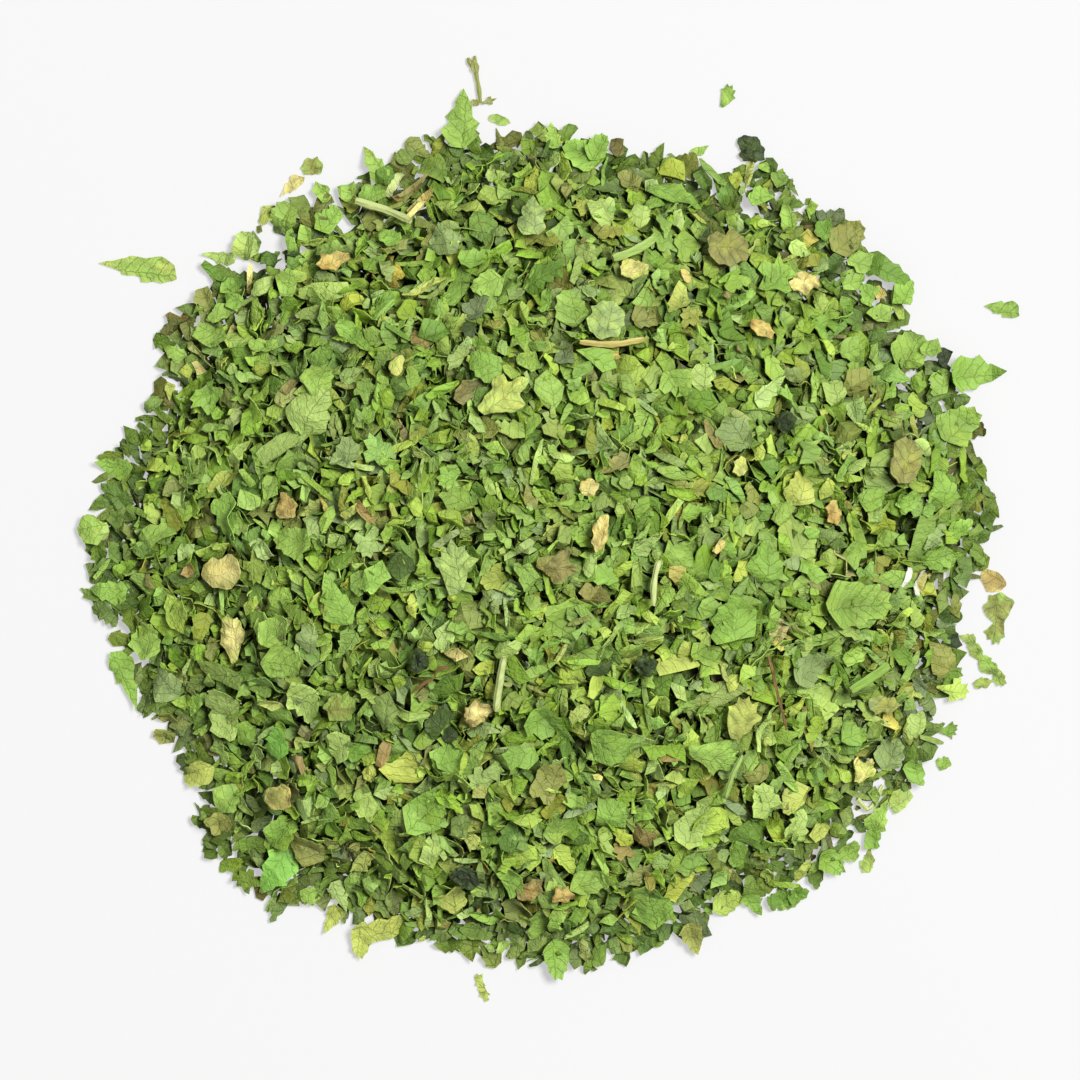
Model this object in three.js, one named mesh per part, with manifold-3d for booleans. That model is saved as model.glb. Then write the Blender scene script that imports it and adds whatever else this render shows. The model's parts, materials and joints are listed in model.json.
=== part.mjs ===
// A heap of dried, cut coriander leaf, as it lies when poured on a table.
// Thousands of leaf chips make the real heap. Here the mound is one solid: a smaller core, and larger chips
// fused into it that cover it and stand out of it. The chips and stalks that catch the eye, and those that
// lie loose beside the heap, are pieces of their own at true size.
// Millimetres, +Z up. The origin is under the middle of the heap, on the table.
import * as THREE from "three";
import { mergeVertices } from "three/addons/utils/BufferGeometryUtils.js";
import Module from "manifold-3d";

const wasm = await Module();
wasm.setup();

// Driving dimensions of the heap
const coreHeight = 20.5; // the chips on the core take the heap to about 23
const heapReach = [
  62.5, 63.6, 60.2, 61.9, 60.8, 57.1, 59.4, 57.9, 56.8, 59.9, 59.9, 60.5,
  63.9, 62.6, 58.6, 62.5, 59.9, 58.8, 58.5, 57.5, 58.2, 62.2, 61.9, 60.2,
]; // from the middle to the edge, every 15 degrees from +X towards +Y
const coreShare = 0.95; // how far the core reaches towards that edge
const coreSides = 36;
const coreRings = [0, 0.3, 0.5, 0.68, 0.84, 0.95, 1];

// Driving dimensions of the chips
const bladeThickness = 0.62;
const coverChips = 150;
const coverLength = [9.5, 13];
const coverShape = [0.66, 0.9]; // width over length
const coverSink = 0.28; // how deep a covering chip sinks into what it lies on
const settleTries = 5;
const rimChips = 14;
const slideStep = 0.3;
const rootVolume = 1; // how much of a rim leaf has to be inside the mound, in cubic millimetres
const restGap = 0.35; // between a piece and what it rests on
const smallestEdge = 0.05; // shorter ones, left where chips cross, are closed up

// Outlines on a half length and half width of 1, about a middle at 0, 0. The first point is the leaf's tip.
const outlines = {
  tip: [[1, 0], [0.3, 0.6], [0.2, 0.95], [-0.7, 0.8], [-1, -0.3], [-0.4, -1], [0.2, -0.72]],
  fan: [[1, 0.2], [0.6, 0.42], [0.58, 1], [-0.1, 0.68], [-1, 0.1], [-0.3, -0.8], [0.45, -1], [0.55, -0.36]],
  plate: [[0.95, 0.4], [0.2, 1], [-0.75, 0.85], [-1, -0.2], [-0.4, -1], [0.5, -0.9], [0.66, -0.4]],
  shard: [[1, 0.2], [0.1, 1], [-0.9, 0.55], [-1, -0.5], [0, -1], [0.85, -0.6]],
  leafTip: [
    [1, 0.1], [0.45, 0.5], [0.4, 0.72], [-0.05, 0.7], [-0.1, 1], [-0.6, 0.92],
    [-1, 0.5], [-0.9, -0.55], [-0.5, -1], [-0.12, -0.76], [0.1, -0.85], [0.5, -0.42],
  ],
  leafFan: [
    [1, 0.12], [0.7, 0.3], [0.85, 0.62], [0.42, 0.6], [0.35, 1], [-0.1, 0.7], [-1, 0.2],
    [-0.95, -0.25], [-0.05, -0.7], [0.3, -1], [0.46, -0.6], [0.88, -0.5], [0.7, -0.14],
  ],
  leafLobes: [
    [1, 0], [0.6, 0.32], [0.36, 0.34], [0.45, 0.9], [-0.05, 1], [-0.3, 0.5], [-0.95, 0.3],
    [-1, -0.25], [-0.35, -0.5], [-0.1, -1], [0.4, -0.85], [0.34, -0.34], [0.65, -0.3],
  ],
  cutPlate: [
    [1, 0.35], [0.6, 0.95], [0.15, 0.76], [-0.1, 1], [-0.72, 0.8],
    [-1, 0.1], [-0.75, -0.75], [0, -1], [0.6, -0.9], [0.95, -0.3],
  ],
  torn: [
    [1, 0.3], [0.52, 0.45], [0.45, 1], [-0.08, 0.62], [-0.6, 0.95], [-0.62, 0.34],
    [-1, 0.1], [-0.8, -0.6], [-0.3, -0.66], [0, -1], [0.4, -0.58], [0.95, -0.55],
  ],
  sliver: [[1, 0.1], [0.3, 0.9], [-0.5, 1], [-1, 0.2], [-0.8, -0.7], [0, -1], [0.7, -0.6]],
};

// The pieces that catch the eye on the heap: where they lie, how large, which way they point, their outline
const heapPieces = [
  { name: "tan_chip_1", at: [-29.4, 40.8], size: [5.1, 3.3], turn: 15, form: "torn", hue: "tan" },
  { name: "tan_chip_2", at: [37.5, 37.8], size: [4.8, 4.2], turn: 10, form: "torn", hue: "straw" },
  { name: "tan_chip_3", at: [31.5, 31.2], size: [3.9, 3], turn: -30, form: "torn", hue: "tan" },
  { name: "tan_chip_4", at: [-8.8, -23.4], size: [4.6, 4.2], turn: 30, form: "torn", hue: "straw" },
  { name: "tan_chip_5", at: [8.5, 2], size: [5.6, 2.8], turn: 80, form: "torn", hue: "tan" },
  { name: "tan_chip_6", at: [7.1, 8.6], size: [3.2, 2.6], turn: 20, form: "sliver", hue: "tan" },
  { name: "tan_chip_7", at: [-37.3, -35.4], size: [4.6, 3.8], turn: 20, form: "cutPlate", hue: "tan" },
  { name: "brown_chip_1", at: [-35.9, 5.8], size: [3.9, 2.8], turn: 100, form: "cutPlate", hue: "brown" },
  { name: "brown_chip_2", at: [-1.2, -48.5], size: [4.7, 3.2], turn: 40, form: "leafTip", hue: "brown" },
  { name: "brown_chip_3", at: [41.6, 5], size: [3.4, 2.4], turn: 100, form: "torn", hue: "brown" },
  { name: "brown_chip_4", at: [2.6, -2.7], size: [6.5, 5], turn: -10, form: "leafLobes", hue: "olive" },
  { name: "orange_chip", at: [3.2, -49.4], size: [3.4, 3], turn: 0, form: "torn", hue: "tan" },
  { name: "yellow_chip_1", at: [13.2, 39.5], size: [4.2, 3.6], turn: 0, form: "torn", hue: "yellow" },
  { name: "yellow_chip_2", at: [-20.3, 25.8], size: [3.3, 2.1], turn: 65, form: "sliver", hue: "yellow" },
  { name: "yellow_chip_3", at: [28.4, 11.4], size: [3.3, 2.6], turn: 80, form: "torn", hue: "yellow" },
  { name: "yellow_leaf_1", at: [-5, 21.6], size: [8.4, 6.2], turn: 35, form: "leafLobes", hue: "lime" },
  { name: "yellow_leaf_2", at: [-45.2, -3.5], size: [6.4, 5], turn: 20, form: "cutPlate", hue: "straw" },
  { name: "yellow_leaf_3", at: [-43.7, -12.8], size: [7.3, 4.2], turn: 95, form: "leafFan", hue: "yellow" },
  { name: "yellow_leaf_4", at: [28.7, -24.2], size: [6.6, 5.6], turn: 70, form: "leafFan", hue: "lime" },
  { name: "yellow_leaf_5", at: [46.1, -31.8], size: [4.6, 3.6], turn: 60, form: "leafLobes", hue: "lime" },
  { name: "olive_leaf_1", at: [26.8, 42.9], size: [6.2, 5.6], turn: 20, form: "cutPlate", hue: "olive" },
  { name: "olive_leaf_2", at: [51.7, 12.2], size: [6.8, 5.1], turn: 75, form: "cutPlate", hue: "olive" },
  { name: "olive_leaf_3", at: [49.4, -22.4], size: [5.6, 2.8], turn: -5, form: "leafTip", hue: "olive" },
  { name: "olive_leaf_4", at: [-28.4, -22.6], size: [5, 4.2], turn: 10, form: "cutPlate", hue: "olive" },
  { name: "pale_leaf_1", at: [9.4, 32.4], size: [6.2, 5.2], turn: 80, form: "cutPlate", hue: "pale" },
  { name: "pale_leaf_2", at: [-1.1, 47.4], size: [6.7, 4.2], turn: 85, form: "leafTip", hue: "pale" },
  { name: "pale_leaf_3", at: [-12.1, -2.8], size: [7.6, 6.6], turn: 90, form: "leafFan", hue: "pale" },
  { name: "broad_leaf", at: [24.6, -29.6], size: [7.8, 6], turn: -20, form: "leafFan", hue: "green" },
  { name: "dark_curl_1", at: [-16.9, -16], size: [3.7, 3.5], turn: 0, form: "sliver", hue: "dark" },
  { name: "dark_curl_2", at: [-10.5, -46.6], size: [5.2, 3.8], turn: -30, form: "sliver", hue: "dark" },
  { name: "dark_curl_3", at: [14.9, -16.6], size: [3.9, 3.5], turn: 20, form: "sliver", hue: "dark" },
  { name: "dark_curl_4", at: [34.8, 17.8], size: [3.9, 3.5], turn: 50, form: "sliver", hue: "dark" },
];

// Cut leaf stalks on the heap, by the run that they follow on the table's plan
const heapStalks = [
  { name: "straw_stalk_1", run: [[5.4, 29.1], [10, 28.7], [14.9, 29.5]], across: 1, hue: "straw" },
  { name: "straw_stalk_2", run: [[-26.4, 49.4], [-22, 48.1], [-18.3, 46.4]], across: 1.3, hue: "straw" },
  { name: "green_stalk_1", run: [[10.2, 40.9], [13.6, 42.2], [16.4, 44]], across: 1.4, hue: "stalk" },
  { name: "green_stalk_2", run: [[-6.2, -23.2], [-5.6, -19], [-5, -15.2]], across: 1.1, hue: "stalk" },
  { name: "green_stalk_3", run: [[43.9, -20.4], [46.8, -18.6], [49.6, -16.6]], across: 1.5, hue: "green" },
  { name: "thin_stalk_1", run: [[26.3, -35.6], [27.2, -32.4], [28.7, -29.2]], across: 0.8, hue: "stalk" },
  { name: "thin_stalk_2", run: [[16, -8.4], [16.1, -5], [16.8, -1.6]], across: 0.9, hue: "stalk" },
  { name: "bent_stalk", run: [[45.2, -35.8], [46.9, -37.4], [48.9, -33.7]], across: 0.8, hue: "straw" },
  { name: "brown_stalk_1", run: [[-18, -20.6], [-15.2, -18.6], [-12.8, -16.2]], across: 0.8, hue: "brown" },
  { name: "brown_stalk_2", run: [[32.2, -15], [33.6, -20.4], [35, -26]], across: 0.8, hue: "brown" },
];

// Chips that lie loose on the table. Those that touch are one piece, with a list of chips.
const loosePieces = [
  { name: "loose_leaf_tip", hue: "green", at: [-57.2, 40], size: [11.4, 3.8], turn: 172, form: "leafTip" },
  { name: "loose_straw_chip", hue: "straw", at: [-35.6, 51.6], size: [4, 2], turn: 225, form: "leafTip" },
  { name: "loose_curl", hue: "olive", at: [-32.6, 54.3], size: [3.4, 2.6], turn: 10, form: "cutPlate" },
  { name: "loose_chip_1", hue: "green", at: [26.7, 64.3], size: [3.1, 2.3], turn: 60, form: "leafFan" },
  { name: "loose_chip_2", hue: "green", at: [22.6, 56.6], size: [3.2, 1.1], turn: 25, form: "sliver" },
  { name: "loose_dark_curl", hue: "dark", at: [30.1, 56.8], size: [4.6, 4.4], turn: 100, form: "cutPlate" },
  { name: "loose_chip_3", hue: "green", at: [65.9, 34.2], size: [5.1, 2.6], turn: 170, form: "leafTip" },
  { name: "loose_tan_chip", hue: "tan", at: [64.6, -4.6], size: [4.3, 2.8], turn: -28, form: "shard" },
  {
    name: "loose_pair",
    hue: "olive",
    chips: [
      { at: [65.4, -8.6], size: [4.4, 4], turn: 70, form: "cutPlate" },
      { at: [65.1, -11.9], size: [3.9, 3.4], turn: 250, form: "leafFan" },
    ],
  },
  {
    name: "loose_chain",
    hue: "green",
    chips: [
      { at: [60.9, -12.9], size: [2.6, 1.7], turn: 160, form: "leafTip" },
      { at: [62.2, -14.8], size: [3.2, 1.9], turn: -55, form: "sliver" },
      { at: [63.8, -16.8], size: [3.2, 2.3], turn: -35, form: "cutPlate" },
      { at: [65.3, -18.3], size: [2.8, 2.2], turn: -70, form: "leafFan" },
      { at: [63.4, -19.3], size: [3.2, 1.5], turn: 10, form: "leafTip" },
    ],
  },
  { name: "loose_chip_4", hue: "olive", at: [58.3, -26.1], size: [2.9, 2.5], turn: 0, form: "leafFan" },
  { name: "loose_chip_5", hue: "green", at: [57.5, -30.7], size: [2.2, 1.9], turn: 30, form: "cutPlate" },
  { name: "loose_chip_6", hue: "olive", at: [46.8, -44.6], size: [4, 2], turn: 80, form: "leafTip" },
  { name: "loose_chip_7", hue: "green", at: [34.8, -50.4], size: [4.3, 2.6], turn: 195, form: "leafTip" },
  {
    name: "loose_crumbs",
    hue: "lime",
    chips: [
      { at: [-8.6, -62], size: [2.8, 1.6], turn: -70, form: "torn" },
      { at: [-8, -63.6], size: [2.8, 1.5], turn: -60, form: "torn" },
    ],
  },
  { name: "loose_chip_8", hue: "olive", at: [-5.6, 61], size: [3.2, 1.4], turn: -20, form: "sliver" },
];

// Leaves at the heap's edge that reach out over the table, fused into the heap
const rimLeaves = [
  { at: [-60.6, 11.4], size: [6.4, 3.6], turn: 165, form: "leafTip", lift: 1.2 },
  { at: [-64.2, 2.4], size: [6.4, 4.8], turn: 190, form: "cutPlate", lift: 1 },
  { at: [-61.8, -6.2], size: [6.4, 3.8], turn: 170, form: "leafTip", lift: 0.8 },
  { at: [-59.4, -18.7], size: [9.1, 4], turn: -68, form: "leafTip", lift: 0.9 },
  { at: [-53.4, -27], size: [4.6, 3], turn: 190, form: "cutPlate", lift: 0.5 },
  { at: [-45.8, -39.6], size: [5.6, 4], turn: 200, form: "cutPlate", lift: 0.8 },
  { at: [-37.6, -46.8], size: [9, 5.7], turn: 235, form: "leafTip", lift: 1 },
  { at: [-25.4, -55.8], size: [6, 3.4], turn: 262, form: "leafFan", lift: 0.8 },
  { at: [2.4, -58.4], size: [6.6, 4.2], turn: 274, form: "leafFan", lift: 0.9 },
  { at: [21.8, -55.6], size: [5.4, 3.8], turn: 290, form: "leafTip", lift: 0.7 },
  { at: [59, -20.2], size: [5.8, 3.6], turn: -8, form: "leafLobes", lift: 0.6 },
  { at: [61.8, 3.3], size: [5, 3], turn: 30, form: "leafTip", lift: 0.9 },
  { at: [61.6, 17.6], size: [6.2, 4.4], turn: 40, form: "leafFan", lift: 1.1 },
  { at: [61.4, 25], size: [9.6, 6], turn: 5, form: "leafTip", lift: 1.3 },
  { at: [51, 39.6], size: [9.8, 3.6], turn: -30, form: "leafTip", lift: 1.4 },
  { at: [43.6, 44.6], size: [6.4, 5.1], turn: 60, form: "cutPlate", lift: 1.3 },
  { at: [35.2, 47.4], size: [5.6, 2.8], turn: 100, form: "leafTip", lift: 1.2 },
  { at: [31.4, 50.4], size: [5.2, 3.6], turn: 20, form: "cutPlate", lift: 1 },
  { at: [8.2, 57.4], size: [4.8, 3.6], turn: 60, form: "leafFan", lift: 0.9 },
  { at: [1.8, 59], size: [4.6, 2.6], turn: 100, form: "leafTip", lift: 0.8 },
  { at: [-11.4, 60.2], size: [9.2, 6], turn: 88, form: "leafLobes", lift: 0.9 },
  { at: [-23.6, 54.6], size: [7.4, 3], turn: 120, form: "leafTip", lift: 1.1 },
  { at: [-35, 46.6], size: [5.4, 3.6], turn: 130, form: "leafFan", lift: 0.8 },
  { at: [-44.8, 40.6], size: [5.8, 2.6], turn: 165, form: "leafTip", lift: 0.8 },
  { at: [-52.4, 27.9], size: [4.6, 2.6], turn: 150, form: "leafTip", lift: 0.8 },
];

// The loose sprig above the heap: a thin forked stalk with a bud at its fork and a leaf scrap at its foot
const sprig = {
  name: "loose_bud_sprig",
  hue: "olive",
  run: [[-8.5, 63.4], [-8.8, 66], [-9.3, 68.4], [-9.3, 70.3]],
  fork: [[-9.3, 68.2], [-10, 69.2], [-10.3, 70]],
  across: 0.7,
  bud: { at: [-9.3, 68.6], size: [1.9, 1.2], turn: 95, form: "sliver" },
  scraps: [
    { at: [-7.2, 63.7], size: [2.4, 1.4], turn: 20, form: "leafLobes" },
    { at: [-9.5, 63.5], size: [1.8, 1.1], turn: 170, form: "leafTip" },
  ],
};

const hues = {
  green: 0x7fa648,
  lime: 0xb3b95a,
  pale: 0x9db87c,
  olive: 0x8c9a56,
  dark: 0x3f4f34,
  tan: 0xc79a5a,
  straw: 0xcfc07a,
  yellow: 0xdccb78,
  brown: 0x94684a,
  stalk: 0xb7c982,
};

const materialOf = Object.fromEntries(
  Object.entries(hues).map(([hue, color]) => [
    hue,
    new THREE.MeshStandardMaterial({ name: hue, color, roughness: 0.75, metalness: 0, flatShading: true }),
  ]),
);

// A repeatable run of numbers from 0 to 1
function seeded(seed) {
  let state = seed;
  return () => {
    state = (state + 0x6d2b79f5) | 0;
    let mixed = Math.imul(state ^ (state >>> 15), 1 | state);
    mixed = (mixed + Math.imul(mixed ^ (mixed >>> 7), 61 | mixed)) ^ mixed;
    return ((mixed ^ (mixed >>> 14)) >>> 0) / 4294967296;
  };
}

const random = seeded(43);
const between = (low, high) => low + (high - low) * random();
const pick = (list) => list[Math.floor(random() * list.length)];

// How far the heap reaches from its middle in a direction, eased between the readings
function reachAt(angle) {
  const place = (((angle / (2 * Math.PI)) % 1) + 1) * heapReach.length;
  const before = Math.floor(place);
  const share = THREE.MathUtils.smoothstep(place - before, 0, 1);
  return THREE.MathUtils.lerp(
    heapReach[before % heapReach.length],
    heapReach[(before + 1) % heapReach.length],
    share,
  );
}

// The core's height above the table: a settled mound, flat on top, that meets the table at about 30 degrees
function coreHeightAt(x, y) {
  const share = Math.hypot(x, y) / (coreShare * reachAt(Math.atan2(y, x)));
  return share < 1 ? coreHeight * Math.cos((share * Math.PI) / 2) : 0;
}

function coreNormalAt(x, y) {
  const step = 1.5;
  return new THREE.Vector3(
    coreHeightAt(x - step, y) - coreHeightAt(x + step, y),
    coreHeightAt(x, y - step) - coreHeightAt(x, y + step),
    2 * step,
  ).normalize();
}

function solidOf(geometry, matrix = new THREE.Matrix4()) {
  const bare = geometry.clone().applyMatrix4(matrix);
  bare.deleteAttribute("normal");
  bare.deleteAttribute("uv");
  const merged = mergeVertices(bare, 1e-4);
  return new wasm.Manifold(
    new wasm.Mesh({
      numProp: 3,
      vertProperties: merged.attributes.position.array,
      triVerts: new Uint32Array(merged.index.array),
    }),
  );
}

function geometryOf(solid) {
  const made = solid.getMesh();
  const geometry = new THREE.BufferGeometry();
  geometry.setAttribute("position", new THREE.BufferAttribute(new Float32Array(made.vertProperties), 3));
  geometry.setIndex(new THREE.BufferAttribute(new Uint32Array(made.triVerts), 1));
  geometry.computeVertexNormals();
  return geometry;
}

// The largest body of a solid, with its sealed hollows filled and its loose scraps dropped
function largestBody(solid) {
  return solid.decompose().reduce((best, body) => (body.volume() > best.volume() ? body : best));
}

// A thin chip of leaf: a disc whose rim is moved to the outline, cupped and folded along its length
function chipGeometry({ size, form, cup = 0, fold = 0, thickness = bladeThickness }) {
  const outline = outlines[form];
  const geometry = new THREE.CylinderGeometry(1, 1, thickness, outline.length, 1);
  const place = geometry.attributes.position;
  for (let i = 0; i < place.count; i++) {
    const side = Math.sign(place.getY(i)) * (thickness / 2);
    const onRim = Math.hypot(place.getX(i), place.getZ(i)) > 0.5;
    const turn = Math.atan2(place.getX(i), place.getZ(i)) / (2 * Math.PI);
    const point = Math.round((turn + 1) * outline.length) % outline.length;
    const [u, v] = onRim ? outline[point] : [0, 0];
    const rise = cup * (u * u + v * v) - fold * Math.abs(v);
    place.setXYZ(i, (u * size[0]) / 2, (v * size[1]) / 2, rise + side);
  }
  return geometry;
}

// A cut stalk: a six-sided rod along its run
function stalkGeometry(points, across) {
  const section = new THREE.Shape(
    Array.from({ length: 6 }, (_, i) => {
      const angle = (i * Math.PI) / 3;
      return new THREE.Vector2((Math.cos(angle) * across) / 2, (Math.sin(angle) * across) / 2);
    }),
  );
  return new THREE.ExtrudeGeometry(section, {
    steps: 3 * (points.length - 1),
    extrudePath: new THREE.CatmullRomCurve3(points),
    bevelEnabled: false,
  });
}

// Turns a chip about +Z, then lays its upper side square to a normal
function facing(turn, normal) {
  const upright = new THREE.Quaternion().setFromAxisAngle(
    new THREE.Vector3(0, 0, 1),
    THREE.MathUtils.degToRad(turn),
  );
  return new THREE.Quaternion()
    .setFromUnitVectors(new THREE.Vector3(0, 0, 1), normal)
    .multiply(upright);
}

function tilted(normal, degrees, towards) {
  const lean = Math.tan(THREE.MathUtils.degToRad(degrees));
  return normal
    .clone()
    .add(new THREE.Vector3(lean * Math.cos(towards), lean * Math.sin(towards), 0))
    .normalize();
}

// A map of how high things reach over the table, in square cells
const cell = 0.3;
const cells = 520;
const toCell = (v) => Math.floor(v / cell + cells / 2);
const fromCell = (i) => (i + 0.5 - cells / 2) * cell;

// Calls visit(map index, height) for each cell under the triangles that face the given way
function scan(geometry, matrix, facingUp, visit) {
  const flat = geometry.index ? geometry.toNonIndexed() : geometry.clone();
  const place = flat.applyMatrix4(matrix).attributes.position;
  const [a, b, c] = [new THREE.Vector3(), new THREE.Vector3(), new THREE.Vector3()];
  for (let i = 0; i < place.count; i += 3) {
    [a, b, c].forEach((corner, k) => corner.fromBufferAttribute(place, i + k));
    const area = (b.x - a.x) * (c.y - a.y) - (c.x - a.x) * (b.y - a.y);
    if (area > 0 !== facingUp || Math.abs(area) < 1e-6) continue;
    for (let row = toCell(Math.min(a.y, b.y, c.y)); row <= toCell(Math.max(a.y, b.y, c.y)); row++)
      for (let col = toCell(Math.min(a.x, b.x, c.x)); col <= toCell(Math.max(a.x, b.x, c.x)); col++) {
        const [x, y] = [fromCell(col), fromCell(row)];
        const wb = ((x - a.x) * (c.y - a.y) - (c.x - a.x) * (y - a.y)) / area;
        const wc = ((b.x - a.x) * (y - a.y) - (x - a.x) * (b.y - a.y)) / area;
        if (wb < 0 || wc < 0 || wb + wc > 1) continue;
        visit(row * cells + col, a.z + wb * (b.z - a.z) + wc * (c.z - a.z));
      }
  }
}

const heights = new Float32Array(cells * cells);
const unmoved = new THREE.Matrix4();

function raiseMap(geometry, matrix = unmoved) {
  scan(geometry, matrix, true, (index, z) => {
    heights[index] = Math.max(heights[index], z);
  });
}

// How far a piece has to rise from z = 0 to lie on what is under it
function liftOver(geometry, matrix) {
  let lift = -Infinity;
  scan(geometry, matrix, false, (index, z) => {
    lift = Math.max(lift, heights[index] - z);
  });
  return lift;
}

function coreSolid() {
  const sunk = 1; // the table then cuts one clean flat underside
  const profile = [new THREE.Vector2(0, coreHeight)];
  for (const ring of coreRings.slice(1))
    profile.push(new THREE.Vector2(ring, coreHeight * Math.cos((ring * Math.PI) / 2)));
  profile.push(new THREE.Vector2(1, -sunk), new THREE.Vector2(0, -sunk));
  profile.reverse();
  const geometry = new THREE.LatheGeometry(profile, coreSides).rotateX(Math.PI / 2);
  const place = geometry.attributes.position;
  for (let i = 0; i < place.count; i++) {
    const reach = coreShare * reachAt(Math.atan2(place.getY(i), place.getX(i)));
    place.setXYZ(i, place.getX(i) * reach, place.getY(i) * reach, place.getZ(i));
  }
  raiseMap(geometry);
  return solidOf(geometry);
}

// The chips that cover the mound, spread by the golden angle so that they lie evenly. Each takes the lowest
// of a few leans, as a falling chip does, and then sinks a little into what it lies on.
function coverSolids() {
  const goldenAngle = Math.PI * (3 - Math.sqrt(5));
  return Array.from({ length: coverChips }, (_, i) => {
    const angle = i * goldenAngle + between(-0.08, 0.08);
    const share = Math.sqrt((i + 0.5) / coverChips) * 0.965 + between(-0.012, 0.012);
    const radius = share * reachAt(angle) * 0.95;
    const [x, y] = [radius * Math.cos(angle), radius * Math.sin(angle)];
    const length = between(...coverLength);
    const chip = chipGeometry({
      size: [length, length * between(...coverShape)],
      form: pick(["tip", "fan", "plate", "plate", "shard", "fan"]),
      cup: between(-0.9, 0.9),
      fold: between(0, 1.1),
    });
    const turn = between(0, 360);
    const leans = Array.from({ length: settleTries }, () => {
      const normal = tilted(coreNormalAt(x, y), between(4, 24), between(0, 2 * Math.PI));
      const matrix = new THREE.Matrix4().compose(
        new THREE.Vector3(x, y, 0),
        facing(turn, normal),
        new THREE.Vector3(1, 1, 1),
      );
      return { matrix, lift: liftOver(chip, matrix) };
    });
    const { matrix, lift } = leans.reduce((low, lean) => (lean.lift < low.lift ? lean : low));
    matrix.premultiply(new THREE.Matrix4().makeTranslation(0, 0, lift - coverSink));
    raiseMap(chip, matrix);
    return solidOf(chip, matrix);
  });
}

// Chips and leaves that lie at the edge: each slides inwards until its inner end is rooted in the mound
function rimSolids(mound) {
  const spread = Array.from({ length: rimChips }, (_, i) => {
    const angle = ((i + between(-0.25, 0.25)) / rimChips) * 2 * Math.PI;
    const radius = reachAt(angle) - 4.6 + between(-0.8, 0.4);
    const length = between(8, 10.5);
    return {
      at: [radius * Math.cos(angle), radius * Math.sin(angle)],
      size: [length, length * between(0.6, 0.8)],
      turn: THREE.MathUtils.radToDeg(angle) + between(-35, 35),
      form: pick(["tip", "fan", "plate"]),
      lift: between(1, 1.9),
    };
  });
  return [...spread, ...rimLeaves].map((leaf) => {
    const outwards = new THREE.Vector3(...leaf.at, 0).normalize();
    const normal = new THREE.Vector3(0, 0, 1).addScaledVector(outwards, 0.24).normalize();
    const middle = new THREE.Vector3(...leaf.at, bladeThickness / 2 + leaf.lift);
    const chip = chipGeometry({ ...leaf, cup: -0.3 });
    const matrix = new THREE.Matrix4().compose(middle, facing(leaf.turn, normal), new THREE.Vector3(1, 1, 1));
    const inwards = new THREE.Matrix4().makeTranslation(outwards.x * -slideStep, outwards.y * -slideStep, 0);
    while (solidOf(chip, matrix).intersect(mound).volume() < rootVolume) matrix.premultiply(inwards);
    raiseMap(chip, matrix);
    return solidOf(chip, matrix);
  });
}

function heapSolid() {
  const wide = 400;
  const table = solidOf(new THREE.BoxGeometry(wide, wide, 20).translate(0, 0, -10));
  const mound = wasm.Manifold.union([coreSolid(), ...coverSolids()]);
  const fused = wasm.Manifold.union([mound, ...rimSolids(mound)]);
  return largestBody(largestBody(fused.subtract(table)).simplify(smallestEdge));
}

const placed = []; // the solids that a later piece has to clear

// Lets a mesh down onto what is under it and keeps the gap to every piece placed before it
function rest(mesh) {
  mesh.updateMatrixWorld(true);
  mesh.position.z += liftOver(mesh.geometry, mesh.matrixWorld) + restGap;
  const step = 0.1;
  const touches = () => {
    mesh.updateMatrixWorld(true);
    const lowered = solidOf(mesh.geometry, mesh.matrixWorld).translate(0, 0, -restGap);
    return placed.some((solid) => solid.intersect(lowered).volume() > 0);
  };
  while (touches()) mesh.position.z += step;
  placed.push(solidOf(mesh.geometry, mesh.matrixWorld));
  raiseMap(mesh.geometry, mesh.matrixWorld);
}

function named(name, hue, geometry) {
  const mesh = new THREE.Mesh(geometry, materialOf[hue]);
  mesh.name = name;
  return mesh;
}

function heapPiece(piece) {
  const thick = piece.hue === "dark" ? 1.5 : bladeThickness; // the dark chips are crumpled into small wads
  const mesh = named(
    piece.name,
    piece.hue,
    chipGeometry({ ...piece, cup: between(-0.5, 0.3), fold: between(0, 0.5), thickness: thick }),
  );
  const [x, y] = piece.at;
  mesh.position.set(x, y, coreHeightAt(x, y));
  mesh.quaternion.copy(facing(piece.turn, coreNormalAt(x, y)));
  rest(mesh);
  return mesh;
}

function heapStalk(stalk) {
  const points = stalk.run.map(([x, y]) => new THREE.Vector3(x, y, coreHeightAt(x, y)));
  const mesh = named(stalk.name, stalk.hue, stalkGeometry(points, stalk.across));
  rest(mesh);
  return mesh;
}

// Chips lying flat, side by side: those that touch are fused
function looseSolid(chips) {
  const solids = chips.map((chip) =>
    solidOf(
      chipGeometry({ ...chip, cup: 0.25, fold: 0.15 }),
      new THREE.Matrix4().compose(
        new THREE.Vector3(...chip.at, bladeThickness / 2),
        facing(chip.turn, new THREE.Vector3(0, 0, 1)),
        new THREE.Vector3(1, 1, 1),
      ),
    ),
  );
  return wasm.Manifold.union(solids);
}

// Sets a solid down on the table as a mesh of its own
function onTable(name, hue, solid) {
  return named(name, hue, geometryOf(solid.translate(0, 0, -solid.boundingBox().min[2])));
}

function loosePiece(piece) {
  return onTable(piece.name, piece.hue, looseSolid(piece.chips ?? [piece]));
}

function sprigPiece() {
  const lying = ([x, y]) => new THREE.Vector3(x, y, sprig.across / 2);
  const solid = wasm.Manifold.union([
    solidOf(stalkGeometry(sprig.run.map(lying), sprig.across)),
    solidOf(stalkGeometry(sprig.fork.map(lying), sprig.across)),
    looseSolid([sprig.bud, ...sprig.scraps]),
  ]);
  return onTable(sprig.name, sprig.hue, solid);
}

const heap = heapSolid();
placed.push(heap);

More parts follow.
